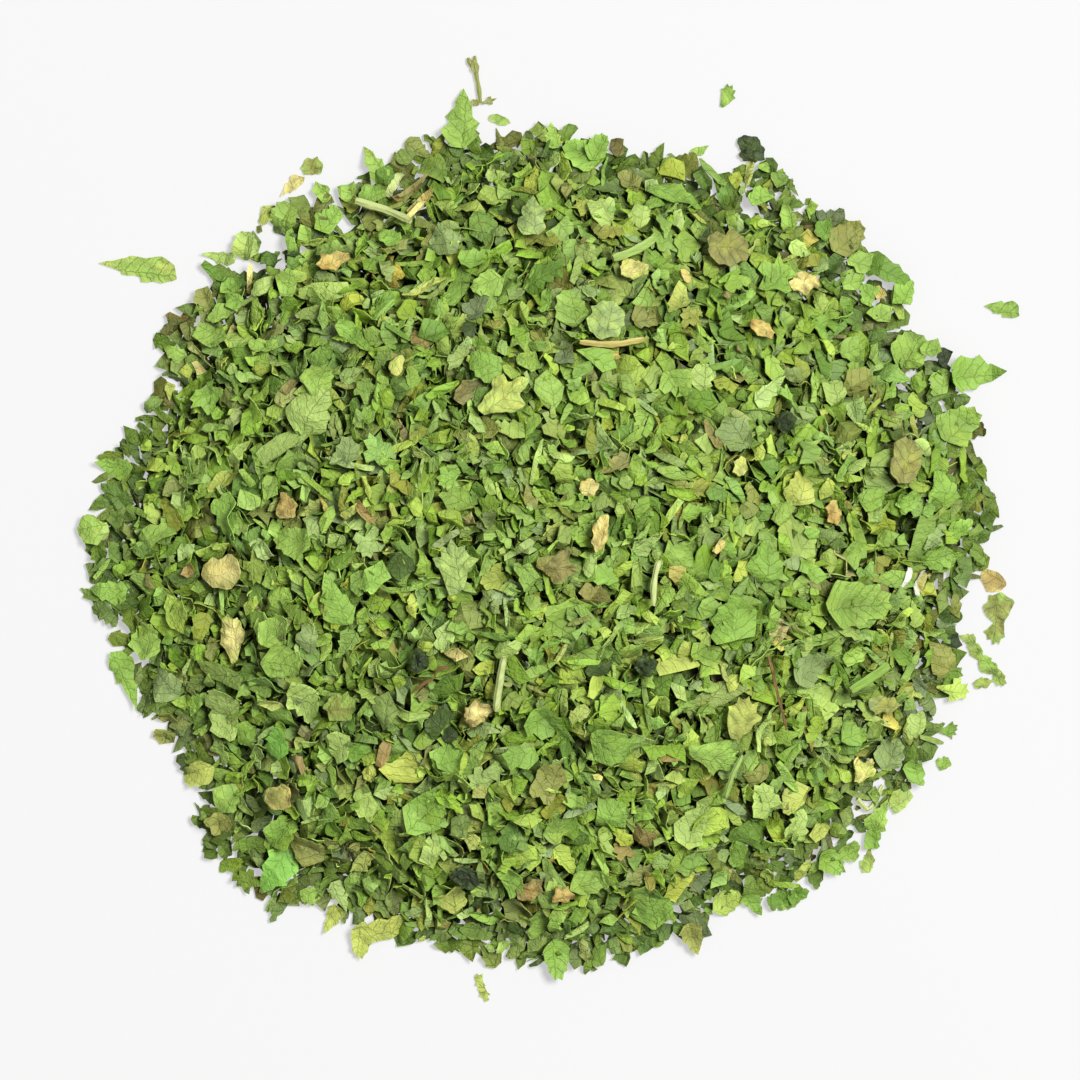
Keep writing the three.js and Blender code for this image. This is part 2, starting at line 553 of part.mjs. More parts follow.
const coriander = new THREE.Group();
coriander.name = "dried_coriander_heap";
coriander.add(named("leaf_heap", "green", geometryOf(heap)));
raiseMap(coriander.children[0].geometry);
coriander.add(...heapPieces.map(heapPiece), ...heapStalks.map(heapStalk));
coriander.add(...loosePieces.map(loosePiece), sprigPiece());

export default coriander;
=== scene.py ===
import json
import math
import random

import bmesh
import bpy
import numpy as np
from mathutils import Matrix, Quaternion, Vector, noise
from mathutils.bvhtree import BVHTree


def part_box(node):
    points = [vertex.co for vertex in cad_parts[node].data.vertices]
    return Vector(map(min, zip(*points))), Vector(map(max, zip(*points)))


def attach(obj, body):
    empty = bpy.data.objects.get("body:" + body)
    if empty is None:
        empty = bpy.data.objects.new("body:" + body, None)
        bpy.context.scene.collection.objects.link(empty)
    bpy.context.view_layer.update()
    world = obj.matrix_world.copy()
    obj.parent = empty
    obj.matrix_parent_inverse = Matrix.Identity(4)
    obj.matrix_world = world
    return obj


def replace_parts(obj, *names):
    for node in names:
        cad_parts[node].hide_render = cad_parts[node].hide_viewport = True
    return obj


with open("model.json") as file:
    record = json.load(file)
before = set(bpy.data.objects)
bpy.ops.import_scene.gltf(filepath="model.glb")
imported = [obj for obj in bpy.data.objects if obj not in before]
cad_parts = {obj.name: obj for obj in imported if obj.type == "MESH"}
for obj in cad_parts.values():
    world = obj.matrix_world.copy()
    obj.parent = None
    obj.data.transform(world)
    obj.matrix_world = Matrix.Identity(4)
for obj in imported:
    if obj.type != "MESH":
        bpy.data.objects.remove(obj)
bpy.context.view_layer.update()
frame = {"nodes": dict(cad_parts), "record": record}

mm = 0.001  # settings are in millimetres, meshes in metres
up = Vector((0, 0, 1))
dice = random.Random(11)


# Camera: straight down on the heap, from far enough to be almost free of perspective
camera = {"distance": 1.8, "frameWide": 0.1534, "over": (0, 1.1 * mm), "level": 8 * mm, "sensor": 36}


def makeCamera():
    lens = bpy.data.cameras.new("top_camera")
    lens.sensor_width = camera["sensor"]
    lens.lens = camera["sensor"] * camera["distance"] / camera["frameWide"]
    lens.clip_end = 20
    eye = bpy.data.objects.new("top_camera", lens)
    eye.location = (*camera["over"], camera["level"] + camera["distance"])
    bpy.context.scene.collection.objects.link(eye)
    bpy.context.scene.camera = eye


makeCamera()


# Colours of dried leaf, as they look in plain daylight
hues = {
    "green": (147, 180, 80),
    "fresh": (138, 176, 74),
    "deep": (108, 144, 54),
    "soft": (168, 194, 102),
    "greyGreen": (142, 164, 98),
    "yellowGreen": (182, 194, 94),
    "lime": (176, 200, 92),
    "olive": (146, 152, 76),
    "drab": (140, 134, 76),
    "dark": (70, 88, 44),
    "black": (52, 64, 38),
    "straw": (216, 206, 128),
    "tan": (204, 188, 108),
    "brown": (158, 138, 78),
    "rust": (176, 146, 76),
    "cream": (196, 210, 134),
    "white": (228, 236, 214),
    "stalkGreen": (164, 194, 100),
    "slate": (112, 128, 82),
    "mint": (152, 192, 96),
    "leafBright": (132, 186, 76),
    "twig": (134, 100, 60),
}


leafTone = 0.89  # dried leaf takes in more light than the picture's bright greens say


def linear(hue, shade=1.0):
    return [leafTone * shade * ((c / 255 + 0.055) / 1.055) ** 2.4 for c in hues[hue]]


# Small shader helpers
def node(tree, kind, **settings):
    made = tree.nodes.new(kind)
    for key, value in settings.items():
        if key in made.inputs:
            made.inputs[key].default_value = value
        else:
            setattr(made, key, value)
    return made


def math2(tree, operation, a, b=None, clamp=False):
    made = node(tree, "ShaderNodeMath", operation=operation, use_clamp=clamp)
    for socket, value in zip(made.inputs, (a, b)):
        if isinstance(value, (int, float)):
            socket.default_value = value
        elif value is not None:
            tree.links.new(value, socket)
    return made.outputs[0]


def mixColour(tree, factor, a, b, blend="MIX"):
    made = node(tree, "ShaderNodeMix", data_type="RGBA", blend_type=blend)
    for socket, value in zip((made.inputs[0], made.inputs[6], made.inputs[7]), (factor, a, b)):
        if isinstance(value, (int, float)):
            socket.default_value = value
        elif isinstance(value, (tuple, list)):
            socket.default_value = (*value[:3], 1)
        else:
            tree.links.new(value, socket)
    return made.outputs[2]


def newMaterial(name, roughness, specular):
    material = bpy.data.materials.new(name)
    material.use_nodes = True
    shader = material.node_tree.nodes["Principled BSDF"]
    shader.inputs["Roughness"].default_value = roughness
    shader.inputs["Specular IOR Level"].default_value = specular
    return material, material.node_tree, shader


ribLine = 0.45  # how far beside the middle of its plan a leaf's rib runs, in millimetres
leafSkin = {
    "roughness": 0.58,
    "specular": 0.32,
    "veinSpacing": 1.6,  # between side veins
    "veinSlant": 0.8,
    "ribWidth": 0.13,
    "veinWidth": 0.1,
    "netWidth": 0.08,
    "netScale": 1.7,
    "netShare": 0.35,  # how strongly the fine net shows beside the veins
    "wander": 0.9,  # how far the veins stray from straight
    "veinDark": 0.54,
    "sunken": -0.22,  # how far the veins sink in the relief
    "mottle": 0.32,
    "patchScale": 420.0,
    "spotScale": 230.0,
    "grainScale": 1700.0,
    "creaseScale": 520.0,
    "yellowing": (1.1, 1.0, 0.78),
    "bump": 1.0,
    "wrinkle": 0.3,  # in millimetres
}


# Leaf: the chip's own colour, mottled, with a rib and side veins drawn on its flattened plan.
# The attribute leafColour holds the chip's colour, and how strongly its veins show.
def leafMaterial():
    s = leafSkin
    material, tree, shader = newMaterial("dried_leaf", s["roughness"], s["specular"])
    chip = node(tree, "ShaderNodeAttribute", attribute_name="leafColour")
    place = node(tree, "ShaderNodeTexCoord").outputs["Object"]
    plan = node(tree, "ShaderNodeUVMap", uv_map="leaf").outputs[0]

    wander = node(tree, "ShaderNodeTexNoise", Scale=s["wander"], Detail=2.0)
    tree.links.new(plan, wander.inputs["Vector"])
    wavy = node(tree, "ShaderNodeVectorMath", operation="MULTIPLY_ADD")
    tree.links.new(wander.outputs["Color"], wavy.inputs[0])
    wavy.inputs[1].default_value = (s["wander"], s["wander"], 0)
    tree.links.new(plan, wavy.inputs[2])
    parts = node(tree, "ShaderNodeSeparateXYZ")
    tree.links.new(wavy.outputs[0], parts.inputs[0])
    along = parts.outputs[0]
    across = math2(tree, "ABSOLUTE", math2(tree, "SUBTRACT", parts.outputs[1], ribLine))

    rib = math2(tree, "SUBTRACT", 1.0, math2(tree, "DIVIDE", across, s["ribWidth"]), clamp=True)
    slanted = math2(tree, "SUBTRACT", along, math2(tree, "MULTIPLY", across, s["veinSlant"]))
    step = math2(tree, "PINGPONG", slanted, s["veinSpacing"] / 2)
    side = math2(tree, "SUBTRACT", 1.0, math2(tree, "DIVIDE", step, s["veinWidth"]), clamp=True)
    cells = node(tree, "ShaderNodeTexVoronoi", feature="DISTANCE_TO_EDGE", Scale=s["netScale"])
    tree.links.new(wavy.outputs[0], cells.inputs["Vector"])
    fine = math2(tree, "DIVIDE", cells.outputs["Distance"], s["netWidth"])
    net = math2(tree, "SUBTRACT", 1.0, fine, clamp=True)
    main = math2(tree, "MAXIMUM", rib, side)
    lines = math2(tree, "MAXIMUM", main, math2(tree, "MULTIPLY", net, s["netShare"]))
    veins = math2(tree, "MULTIPLY", lines, chip.outputs["Alpha"])

    patches = node(tree, "ShaderNodeTexNoise", Scale=s["patchScale"], Detail=3.0, Roughness=0.6)
    tree.links.new(place, patches.inputs["Vector"])
    level = math2(tree, "MULTIPLY_ADD", patches.outputs["Fac"], 2 * s["mottle"])
    level.node.inputs[2].default_value = 1 - s["mottle"]
    bright = node(tree, "ShaderNodeVectorMath", operation="SCALE")
    tree.links.new(chip.outputs["Color"], bright.inputs[0])
    tree.links.new(level, bright.inputs["Scale"])
    aged = node(tree, "ShaderNodeVectorMath", operation="MULTIPLY")
    tree.links.new(bright.outputs[0], aged.inputs[0])
    aged.inputs[1].default_value = s["yellowing"]
    spots = node(tree, "ShaderNodeTexNoise", Scale=s["spotScale"], Detail=3.0)
    tree.links.new(place, spots.inputs["Vector"])
    where = math2(tree, "MULTIPLY_ADD", spots.outputs["Fac"], 5.0, clamp=True)
    where.node.inputs[2].default_value = -2.8
    skin = mixColour(tree, where, bright.outputs[0], aged.outputs[0])
    darkVein = node(tree, "ShaderNodeVectorMath", operation="SCALE")
    tree.links.new(skin, darkVein.inputs[0])
    darkVein.inputs["Scale"].default_value = s["veinDark"]
    tree.links.new(mixColour(tree, veins, skin, darkVein.outputs[0]), shader.inputs["Base Color"])

    grain = node(tree, "ShaderNodeTexNoise", Scale=s["grainScale"], Detail=2.0, Roughness=0.6)
    tree.links.new(place, grain.inputs["Vector"])
    crease = node(tree, "ShaderNodeTexNoise", noise_type="RIDGED_MULTIFRACTAL", Detail=3.0)
    crease.inputs["Scale"].default_value = s["creaseScale"]
    tree.links.new(place, crease.inputs["Vector"])
    sunken = math2(tree, "MULTIPLY", main, s["sunken"])
    relief = math2(tree, "ADD", math2(tree, "ADD", grain.outputs["Fac"], crease.outputs["Fac"]), sunken)
    bump = node(tree, "ShaderNodeBump", Strength=s["bump"], Distance=s["wrinkle"] * mm)
    tree.links.new(relief, bump.inputs["Height"])
    tree.links.new(bump.outputs[0], shader.inputs["Normal"])
    return material


stalkSkin = {
    "roughness": 0.5,
    "specular": 0.4,
    "fibres": (0.35, 6.0, 1.0),  # along, across
    "darkest": 0.3,
    "contrast": 1.3,
    "bump": 0.6,
    "wrinkle": 0.1,  # in millimetres
}


# Stalk: fine ribs along its length, on its own plan
def stalkMaterial():
    s = stalkSkin
    material, tree, shader = newMaterial("cut_stalk", s["roughness"], s["specular"])
    chip = node(tree, "ShaderNodeAttribute", attribute_name="leafColour")
    plan = node(tree, "ShaderNodeUVMap", uv_map="leaf").outputs[0]
    stretch = node(tree, "ShaderNodeMapping", Scale=s["fibres"])
    tree.links.new(plan, stretch.inputs["Vector"])
    fibre = node(tree, "ShaderNodeTexNoise", Scale=1.0, Detail=4.0, Roughness=0.65)
    tree.links.new(stretch.outputs[0], fibre.inputs["Vector"])
    level = math2(tree, "MULTIPLY_ADD", fibre.outputs["Fac"], s["contrast"])
    level.node.inputs[2].default_value = s["darkest"]
    bright = node(tree, "ShaderNodeVectorMath", operation="SCALE")
    tree.links.new(chip.outputs["Color"], bright.inputs[0])
    tree.links.new(level, bright.inputs["Scale"])
    tree.links.new(bright.outputs[0], shader.inputs["Base Color"])
    bump = node(tree, "ShaderNodeBump", Strength=s["bump"], Distance=s["wrinkle"] * mm)
    tree.links.new(fibre.outputs["Fac"], bump.inputs["Height"])
    tree.links.new(bump.outputs[0], shader.inputs["Normal"])
    return material


coreSkin = {"roughness": 0.9, "specular": 0.1, "chipScale": 330.0, "bump": 1.0, "relief": 0.5}


# Core: the chips deep in the heap, which hardly show, coloured dark as painted shade
def coreMaterial():
    s = coreSkin
    material, tree, shader = newMaterial("deep_leaf_painted_shade", s["roughness"], s["specular"])
    place = node(tree, "ShaderNodeTexCoord").outputs["Object"]
    chips = node(tree, "ShaderNodeTexVoronoi", Scale=s["chipScale"], Randomness=1.0)
    tree.links.new(place, chips.inputs["Vector"])
    tone = node(tree, "ShaderNodeSeparateColor")
    tree.links.new(chips.outputs["Color"], tone.inputs[0])
    # painted shade: the core's greens are darkened to about half, for the shade deep in the heap
    colour = mixColour(tree, tone.outputs[0], linear("dark", 0.5), linear("deep", 0.55))
    tree.links.new(colour, shader.inputs["Base Color"])
    bump = node(tree, "ShaderNodeBump", Strength=s["bump"], Distance=s["relief"] * mm)
    tree.links.new(chips.outputs["Distance"], bump.inputs["Height"])
    tree.links.new(bump.outputs[0], shader.inputs["Normal"])
    return material


leaf = leafMaterial()
stalk = stalkMaterial()
deep = coreMaterial()


# Chip shapes: cut plates, toothed margins, leaf tips, lobes, strips and crumbs
chipShapes = {
    "thickness": 0.15,
    "crinkle": 0.42,
    "fold": (-0.5, 0.7),
    "twist": (-0.45, 0.45),
    "largestHalf": 4.3,
    "feelSpacing": 0.24,
    "softest": 0.42,  # folds sharper than this angle show as creases
    "plate": {"share": 0.27, "length": 4.7, "spread": 0.34, "wide": (0.45, 0.9), "roll": (0.2, 1.3)},
    "toothed": {"share": 0.23, "length": 5.4, "spread": 0.3, "wide": (0.45, 0.85), "roll": (0.3, 1.3)},
    "tip": {"share": 0.19, "length": 6.2, "spread": 0.28, "wide": (0.36, 0.62), "roll": (0.3, 1.5)},
    "lobed": {"share": 0.03, "length": 5.8, "spread": 0.22, "wide": (0.75, 1.0), "roll": (0.2, 1.1)},
    "strip": {"share": 0.18, "length": 5.8, "spread": 0.28, "wide": (0.18, 0.38), "roll": (0.4, 1.8)},
    "stem": {"share": 0.04, "length": 7.2, "spread": 0.25, "wide": (0.09, 0.13), "roll": (0.1, 0.9)},
    "crumb": {"share": 0.06, "length": 2.3, "spread": 0.25, "wide": (0.6, 0.95), "roll": (0.0, 0.8)},
}
kinds = [kind for kind, settings in chipShapes.items() if isinstance(settings, dict)]


# Adds leaf teeth to some sides of a cut outline and a slight waver to the others
def withTeeth(corners, toothedSides):
    first = dice.randrange(len(corners))
    points = []
    for i, a in enumerate(corners):
        b = corners[(i + 1) % len(corners)]
        out = Vector((b.y - a.y, a.x - b.x))
        points.append(a)
        if (i - first) % len(corners) < toothedSides:
            teeth = max(1, round((b - a).length / 0.42))
            for j in range(teeth):
                tip = a.lerp(b, (j + dice.uniform(0.45, 0.7)) / teeth)
                points.append(tip + out * dice.uniform(0.06, 0.14))
                if j < teeth - 1:
                    points.append(a.lerp(b, (j + 1) / teeth) - out * dice.uniform(0, 0.05))
        elif (b - a).length > 0.5:
            points.append(a.lerp(b, dice.uniform(0.35, 0.65)) + out * dice.uniform(-0.07, 0.07))
    return points


def polygon(count, wide, low, high):
    start = dice.uniform(0, math.tau)
    angles = [start + math.tau * (i + dice.uniform(-0.28, 0.28)) / count for i in range(count)]
    radii = [dice.uniform(low, high) for _ in angles]
    return [Vector((r * math.cos(a), r * math.sin(a) * wide)) for a, r in zip(angles, radii)]


# A leaflet narrow at its foot, with three lobes of two teeth each
def fanOutline(wide):
    teeth = 17
    points = [Vector((-0.98, -0.07))]
    for i in range(teeth):
        angle = math.radians(122) * (2 * i / (teeth - 1) - 1)
        lobe = 0.78 + 0.22 * abs(math.cos(1.35 * angle))
        reach = lobe + (0.07 if i % 2 else -0.05) + dice.uniform(-0.04, 0.04)
        points.append(Vector((reach * math.cos(angle) - 0.08, reach * math.sin(angle) * wide)))
    return points + [Vector((-0.98, 0.07))]


# Outline on a half length of 1, anticlockwise
def outlineOf(kind, wide):
    if kind == "plate":
        return withTeeth(polygon(dice.randint(4, 6), wide, 0.6, 1.15), dice.choice((0, 0, 1, 1)))
    if kind == "toothed":
        return withTeeth(polygon(5, wide, 0.68, 1.1), dice.choice((2, 3)))
    if kind == "crumb":
        return polygon(dice.randint(4, 6), wide, 0.6, 1.1)
    if kind == "fan":
        return fanOutline(wide)
    if kind == "oval":
        return withTeeth(polygon(6, wide, 0.66, 1.12), 3)
    if kind in ("strip", "stem"):
        ends = [
            (-1, -0.7), (-0.35, -1.1), (0.4, -0.9), (1, -0.3),
            (0.9, 0.5), (0.3, 1), (-0.3, 0.75), (-0.95, 0.6),
        ]
    elif kind == "tip":
        ends = [
            (-0.95, -0.42), (-0.5, -0.98), (-0.36, -0.74), (0, -0.84), (0.12, -0.54), (0.46, -0.5), (1, 0),
            (0.5, 0.42), (0.36, 0.42), (0.1, 0.86), (-0.04, 0.66), (-0.5, 1), (-0.95, 0.4),
        ]
    else:
        ends = [
            (-0.9, -0.16), (-0.15, -0.5), (-0.2, -0.95), (0.2, -0.92), (0.42, -0.52), (0.78, -0.62),
            (0.82, -0.2), (1, 0.02), (0.76, 0.2), (0.86, 0.6), (0.42, 0.5), (0.3, 0.98), (-0.12, 0.9),
            (-0.1, 0.42), (-0.9, 0.14),
        ]
    return [Vector((x + dice.uniform(-0.06, 0.06), (y + dice.uniform(-0.09, 0.09)) * wide)) for x, y in ends]


# A flat sheet cut to the outline, with cross cuts so that it can roll
def cutSheet(points, half, rollTurn, rollCuts=(-0.5, 0, 0.5), foldCuts=(0,)):
    bm = bmesh.new()
    ring = bmesh.ops.create_circle(bm, cap_ends=True, radius=1, segments=len(points))["verts"]
    for vert, point in zip(ring, points):
        vert.co = (point.x * half, point.y * half, 0)
    bm.normal_update()
    if next(iter(bm.faces)).normal.z < 0:
        bmesh.ops.reverse_faces(bm, faces=bm.faces)
    rollWay = Vector((math.cos(rollTurn), math.sin(rollTurn), 0))
    foldWay = up.cross(rollWay)
    reach = max(abs(v.co.dot(rollWay)) for v in bm.verts)
    for way, shares in ((rollWay, rollCuts), (foldWay, foldCuts)):
        for share in shares:
            everything = bm.verts[:] + bm.edges[:] + bm.faces[:]
            bmesh.ops.bisect_plane(bm, geom=everything, plane_co=way * share * reach, plane_no=way)
    return bm, rollWay, foldWay


# Rolls, folds, twists and crinkles the flat sheet
def curlSheet(bm, rollWay, foldWay, half, roll, fold, twist, crinkle):
    seed = Vector((dice.uniform(0, 90), dice.uniform(0, 90), 0))
    bend = roll / half
    for vert in bm.verts:
        along, across = vert.co.dot(rollWay), vert.co.dot(foldWay)
        turned = along * bend
        rise = (1 - math.cos(turned)) / bend if abs(bend) > 1e-6 else 0
        along = math.sin(turned) / bend if abs(bend) > 1e-6 else along
        rise += fold * abs(across) + twist * vert.co.x * vert.co.y / half
        rise += crinkle * half * noise.noise(vert.co / half * 1.6 + seed)
        vert.co = rollWay * along + foldWay * across * (1 - 0.2 * fold * fold) + up * rise


# Keeps each point's place on the flat leaf, for the veins, through the folding and thickening
def keepPlan(bm):
    plan = bm.verts.layers.float_vector.new("plan")
    rim = bm.verts.layers.float.new("rim")
    for vert in bm.verts:
        vert[plan] = vert.co
        vert[rim] = vert.is_boundary


def unwrapPlan(bm, turn, shift):
    plan = bm.verts.layers.float_vector["plan"]
    leafMap = bm.loops.layers.uv.new("leaf")
    spin = Matrix.Rotation(turn, 2)
    for face in bm.faces:
        for loop in face.loops:
            loop[leafMap].uv = spin @ (loop.vert[plan].xy / mm) + shift
    bm.verts.layers.float_vector.remove(plan)


def thicken(bm, thickness):
    bmesh.ops.solidify(bm, geom=bm.faces[:], thickness=thickness)
    bmesh.ops.recalc_face_normals(bm, faces=bm.faces)
    for face in bm.faces:
        face.smooth = True
    for edge in bm.edges:
        edge.smooth = edge.calc_face_angle(0) < chipShapes["softest"]


def meshOf(bm, name):
    bm.verts.layers.float_color.new("leafColour")
    mesh = bpy.data.meshes.new(name)
    bm.to_mesh(mesh)
    bm.free()
    return mesh


# Points spread over the sheet, which feel for what it lies on
def feelers(bm, spacing):
    tree = BVHTree.FromBMesh(bm)
    corners = np.array([v.co for v in bm.verts])
    low, high = corners.min(0), corners.max(0)
    hits = []
    for x in np.arange(low[0], high[0] + spacing, spacing):
        for y in np.arange(low[1], high[1] + spacing, spacing):
            hit = tree.ray_cast(Vector((x, y, 1)), -up)[0]
            if hit:
                hits.append(hit)
    return np.array(hits or [Vector()], dtype=np.float64)


def makeShape(kind):
    s = chipShapes[kind]
    half = s["length"] * math.exp(dice.gauss(0, s["spread"])) / 2 * mm
    half = min(half, chipShapes["largestHalf"] * mm)
    rollTurn = dice.uniform(-0.5, 0.5) + (math.pi / 2 if dice.random() < 0.5 else 0)
    bm, rollWay, foldWay = cutSheet(outlineOf(kind, dice.uniform(*s["wide"])), half, rollTurn)
    keepPlan(bm)
    roll = dice.uniform(*s["roll"]) * dice.choice((-1, 1))
    fold, twist = dice.uniform(*chipShapes["fold"]), dice.uniform(*chipShapes["twist"])
    curlSheet(bm, rollWay, foldWay, half, roll, fold, twist, chipShapes["crinkle"])
    feel = feelers(bm, chipShapes["feelSpacing"] * mm)
    thicken(bm, chipShapes["thickness"] * mm)
    whole = kind in ("tip", "lobed")
    turn = 0 if whole else dice.uniform(0, math.tau)
    shift = Vector((0, ribLine)) if whole else Vector((dice.uniform(-2, 2), dice.uniform(-2, 2)))
    unwrapPlan(bm, turn, shift)
    return {"mesh": meshOf(bm, "shape"), "feel": feel, "half": half, "kind": kind}


shapeCounts = {"plate": 30, "toothed": 24, "tip": 18, "lobed": 8, "strip": 14, "stem": 5, "crumb": 6}
shapes = {kind: [makeShape(kind) for _ in range(count)] for kind, count in shapeCounts.items()}
faceCount = [len(s["mesh"].polygons) for group in shapes.values() for s in group]
print("chip shapes", len(faceCount), "faces", min(faceCount), "to", max(faceCount))


# A map of how high the heap stands, in square cells
cell, cells = 0.3 * mm, 520
heights = np.zeros(cells * cells)
ceiling = np.full(cells * cells, 1.0)
keepClear = np.zeros(cells * cells, bool)


def toCell(x, y):
    return (y / cell + cells / 2).astype(np.int64) * cells + (x / cell + cells / 2).astype(np.int64)


def soften(grid, times):
    for _ in range(times):
        for axis in (0, 1):
            grid = (np.roll(grid, 1, axis) + 2 * grid + np.roll(grid, -1, axis)) / 4
    return grid


def treeOf(name):
    bm = bmesh.new()
    bm.from_mesh(frame["nodes"][name].data)
    tree = BVHTree.FromBMesh(bm)
    bm.free()
    return tree


# How high the solid heap stands, felt from above, and smoothed over its large chips
def readHeap():
    tree = treeOf("leaf_heap")
    coarse = cells // 2
    found = np.zeros((coarse, coarse))
    spots = [((i + 0.5) * 2 - cells / 2) * cell for i in range(coarse)]
    for row, y in enumerate(spots):
        for col, x in enumerate(spots):
            if x * x + y * y < 0.072**2:
                hit = tree.ray_cast(Vector((x, y, 1)), -up)[0]
                found[row, col] = hit.z if hit else 0
    return np.kron(soften(found, 28), np.ones((2, 2))).ravel()


goal = readHeap()
print("heap read, highest", round(goal.max() / mm, 1), "mm")


heap = {
    "coreDrop": 6.5,  # how far the core stays under the heap's surface
    "coreFoot": 1.0,  # how high its flat underside is, over the chips that lie on the table
    "coreSteps": 90,
    "edge": 0.3,  # the goal height at which the heap's edge is taken
    "bareEdge": 0.15,
    "underChips": 2400,
    "underShare": 0.45,  # how much of the depth the under chips fill
    # Painted shade: the under, table and rim chips are coloured darker, for the shade low in the heap and
    # between its chips
    "underPaintedShade": 0.6,
    "tableChips": ((14000, 0.1, 0.55), (3500, 0.6, 0.65)),  # tries, up to what height, painted shade
    "rimChips": (8000, 0.1, 0.9),
    "tableLean": (0, 16),
    "tableLargest": 6,
    "overChips": 4700,
    "flipped": 0.42,  # the share of chips whose paler underside shows
    "proud": 1.7,  # how far a chip may stand out of the heap's surface
    "lean": (6, 42),
    "onEdge": 0.2,
    "edgeLean": (48, 80),
    "sink": 0.9,  # the share of a chip that stays over what it lies on; the rest slips in between
    "edgeSink": 0.5,
    "steepest": 0.9,
    "shelter": 0.8,  # how far under a piece that catches the eye the chips stay
    "shelterRim": 1.45,
    "lateChips": 700,
    "lateBelow": -1.6,
    "bottomChips": 950,
    "bottomReach": 53,
    "bottomLean": (0, 8),
    "bottomLift": (0.15, 0.7),
    "paintedGapShade": 0.5,  # painted shade: how much darker the chips in the gaps are
    "paintedGapShadeDepth": 1.7,
}


def link(mesh, name, material, slot):
    piece = bpy.data.objects.new(name, mesh)
    bpy.context.scene.collection.objects.link(piece)
    mesh.materials.append(material)
    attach(piece, "root")
    return piece


# The core follows the heap's surface from below
def makeCore():
    bm = bmesh.new()
    bmesh.ops.create_icosphere(bm, subdivisions=6, radius=1)
    surface = np.maximum(goal - heap["coreDrop"] * mm, 0)
    edge = {}
    for vert in bm.verts:
        share = math.acos(max(-1, min(1, abs(vert.co.z)))) / (math.pi / 2)
        angle = math.atan2(vert.co.y, vert.co.x)
        step = round(angle / math.tau * heap["coreSteps"])
        if step not in edge:
            radii = np.arange(0.03, 0.07, 0.0003)
            a = step * math.tau / heap["coreSteps"]
            inside = surface[toCell(radii * math.cos(a), radii * math.sin(a))] > 0.1 * mm
            edge[step] = radii[inside].max()
        x, y = share * edge[step] * math.cos(angle), share * edge[step] * math.sin(angle)
        top = surface[toCell(np.array([x]), np.array([y]))][0] if vert.co.z > 1e-4 else 0
        vert.co = (x, y, max(top, heap["coreFoot"] * mm + (0.02 * mm if vert.co.z > 1e-4 else 0)))
    bmesh.ops.recalc_face_normals(bm, faces=bm.faces)
    for face in bm.faces:
        face.smooth = True
    mesh = bpy.data.meshes.new("heap_core")
    bm.to_mesh(mesh)
    bm.free()
    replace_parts(link(mesh, "heap_core", deep, "green"), "leaf_heap")
    return surface


heights = makeCore().copy()
print("core made")


# Which colours the chips have, by their share, for those seen from above and from below
upperHues = {
    "green": 0.4, "fresh": 0.17, "deep": 0.14, "soft": 0.12, "greyGreen": 0.04, "yellowGreen": 0.04,
    "olive": 0.06, "drab": 0.01, "dark": 0.02, "straw": 0.004, "tan": 0.003, "brown": 0.004,
}
lowerHues = {
    "green": 0.36, "fresh": 0.1, "deep": 0.1, "soft": 0.22, "greyGreen": 0.1, "yellowGreen": 0.05,
    "olive": 0.06, "drab": 0.01, "dark": 0.01, "straw": 0.004, "tan": 0.002, "brown": 0.004,
}


def pickWeighted(table):
    return dice.choices(list(table), weights=list(table.values()))[0]


def chipColour(flipped, shade):
    hue = pickWeighted(lowerHues if flipped else upperHues)
    other = pickWeighted(upperHues)
    mix = dice.uniform(0, 0.35)
    # a shade under 1 is painted shade, for the chips that lie low in the heap or near its rim
    level = shade * dice.uniform(0.86, 1.14)
    colour = [(1 - mix) * a + mix * b for a, b in zip(linear(hue, level), linear(other, level))]
    colour[2] *= dice.uniform(0.5, 1.3)
    veins = dice.choice((0, 0.2, 0.35, 0.55, 0.8, 1.0))
    return (*colour, veins)


# Plane fits to what lies under a spot, for a few chip sizes
def planeFit(radius):
    steps = np.arange(-int(radius / cell), int(radius / cell) + 1)
    dx, dy = (a.ravel() for a in np.meshgrid(steps, steps))
    inside = dx * dx + dy * dy <= (radius / cell) ** 2
    dx, dy = dx[inside], dy[inside]
    fit = np.linalg.pinv(np.column_stack((dx * cell, dy * cell, np.ones(len(dx)))))
    return dy * cells + dx, fit


fits = [planeFit(r * mm) for r in (0.7, 1.2, 1.8, 2.6)]


def liftOver(points, sink):
    index = toCell(points[:, 0], points[:, 1])
    need = heights[index] - points[:, 2]
    rank = min(len(need) - 1, int(len(need) * sink))
    return max(np.partition(need, rank)[rank], -points[:, 2].min()) + 0.1 * mm, index


# Lays one chip at a spot, as deep as sink lets it between others: the lowest of a few leans, square to what
# is under it. Refused if it would cover one of the pieces that catch the eye.
def layChip(shape, scale, x, y, tries, lean, flipped, sink):
    offsets, fit = fits[min(3, int(shape["half"] * scale / (0.8 * mm)))]
    spot = toCell(np.array([x]), np.array([y]))[0]
    sx, sy, _ = fit @ heights[spot + offsets]
    steep = math.hypot(sx, sy)
    if steep > heap["steepest"]:
        sx, sy = sx * heap["steepest"] / steep, sy * heap["steepest"] / steep
    best = None
    spin = Quaternion(up, dice.uniform(0, math.tau)) @ Quaternion((1, 0, 0), math.pi if flipped else 0)
    for _ in range(tries):
        angle, way = math.tan(math.radians(dice.uniform(*lean))), dice.uniform(0, math.tau)
        normal = Vector((-sx, -sy, 1)).normalized()
        normal = (normal + Vector((math.cos(way), math.sin(way), 0)) * angle).normalized()
        turned = (up.rotation_difference(normal) @ spin).to_matrix()
        points = shape["feel"] @ (np.array(turned).T * scale) + np.array((x, y, 0))
        lift, index = liftOver(points, sink)
        if best is None or lift < best[0]:
            best = (lift, index, points, turned)
    lift, index, points, turned = best
    tops = points[:, 2] + lift
    if (tops > ceiling[index]).any() or keepClear[index].any():
        return None
    if (tops > goal[index] + heap["proud"] * mm).any():
        return None
    np.maximum.at(heights, index, tops + chipShapes["thickness"] * mm)
    return Matrix.Translation((x, y, lift)) @ (turned * scale).to_4x4()


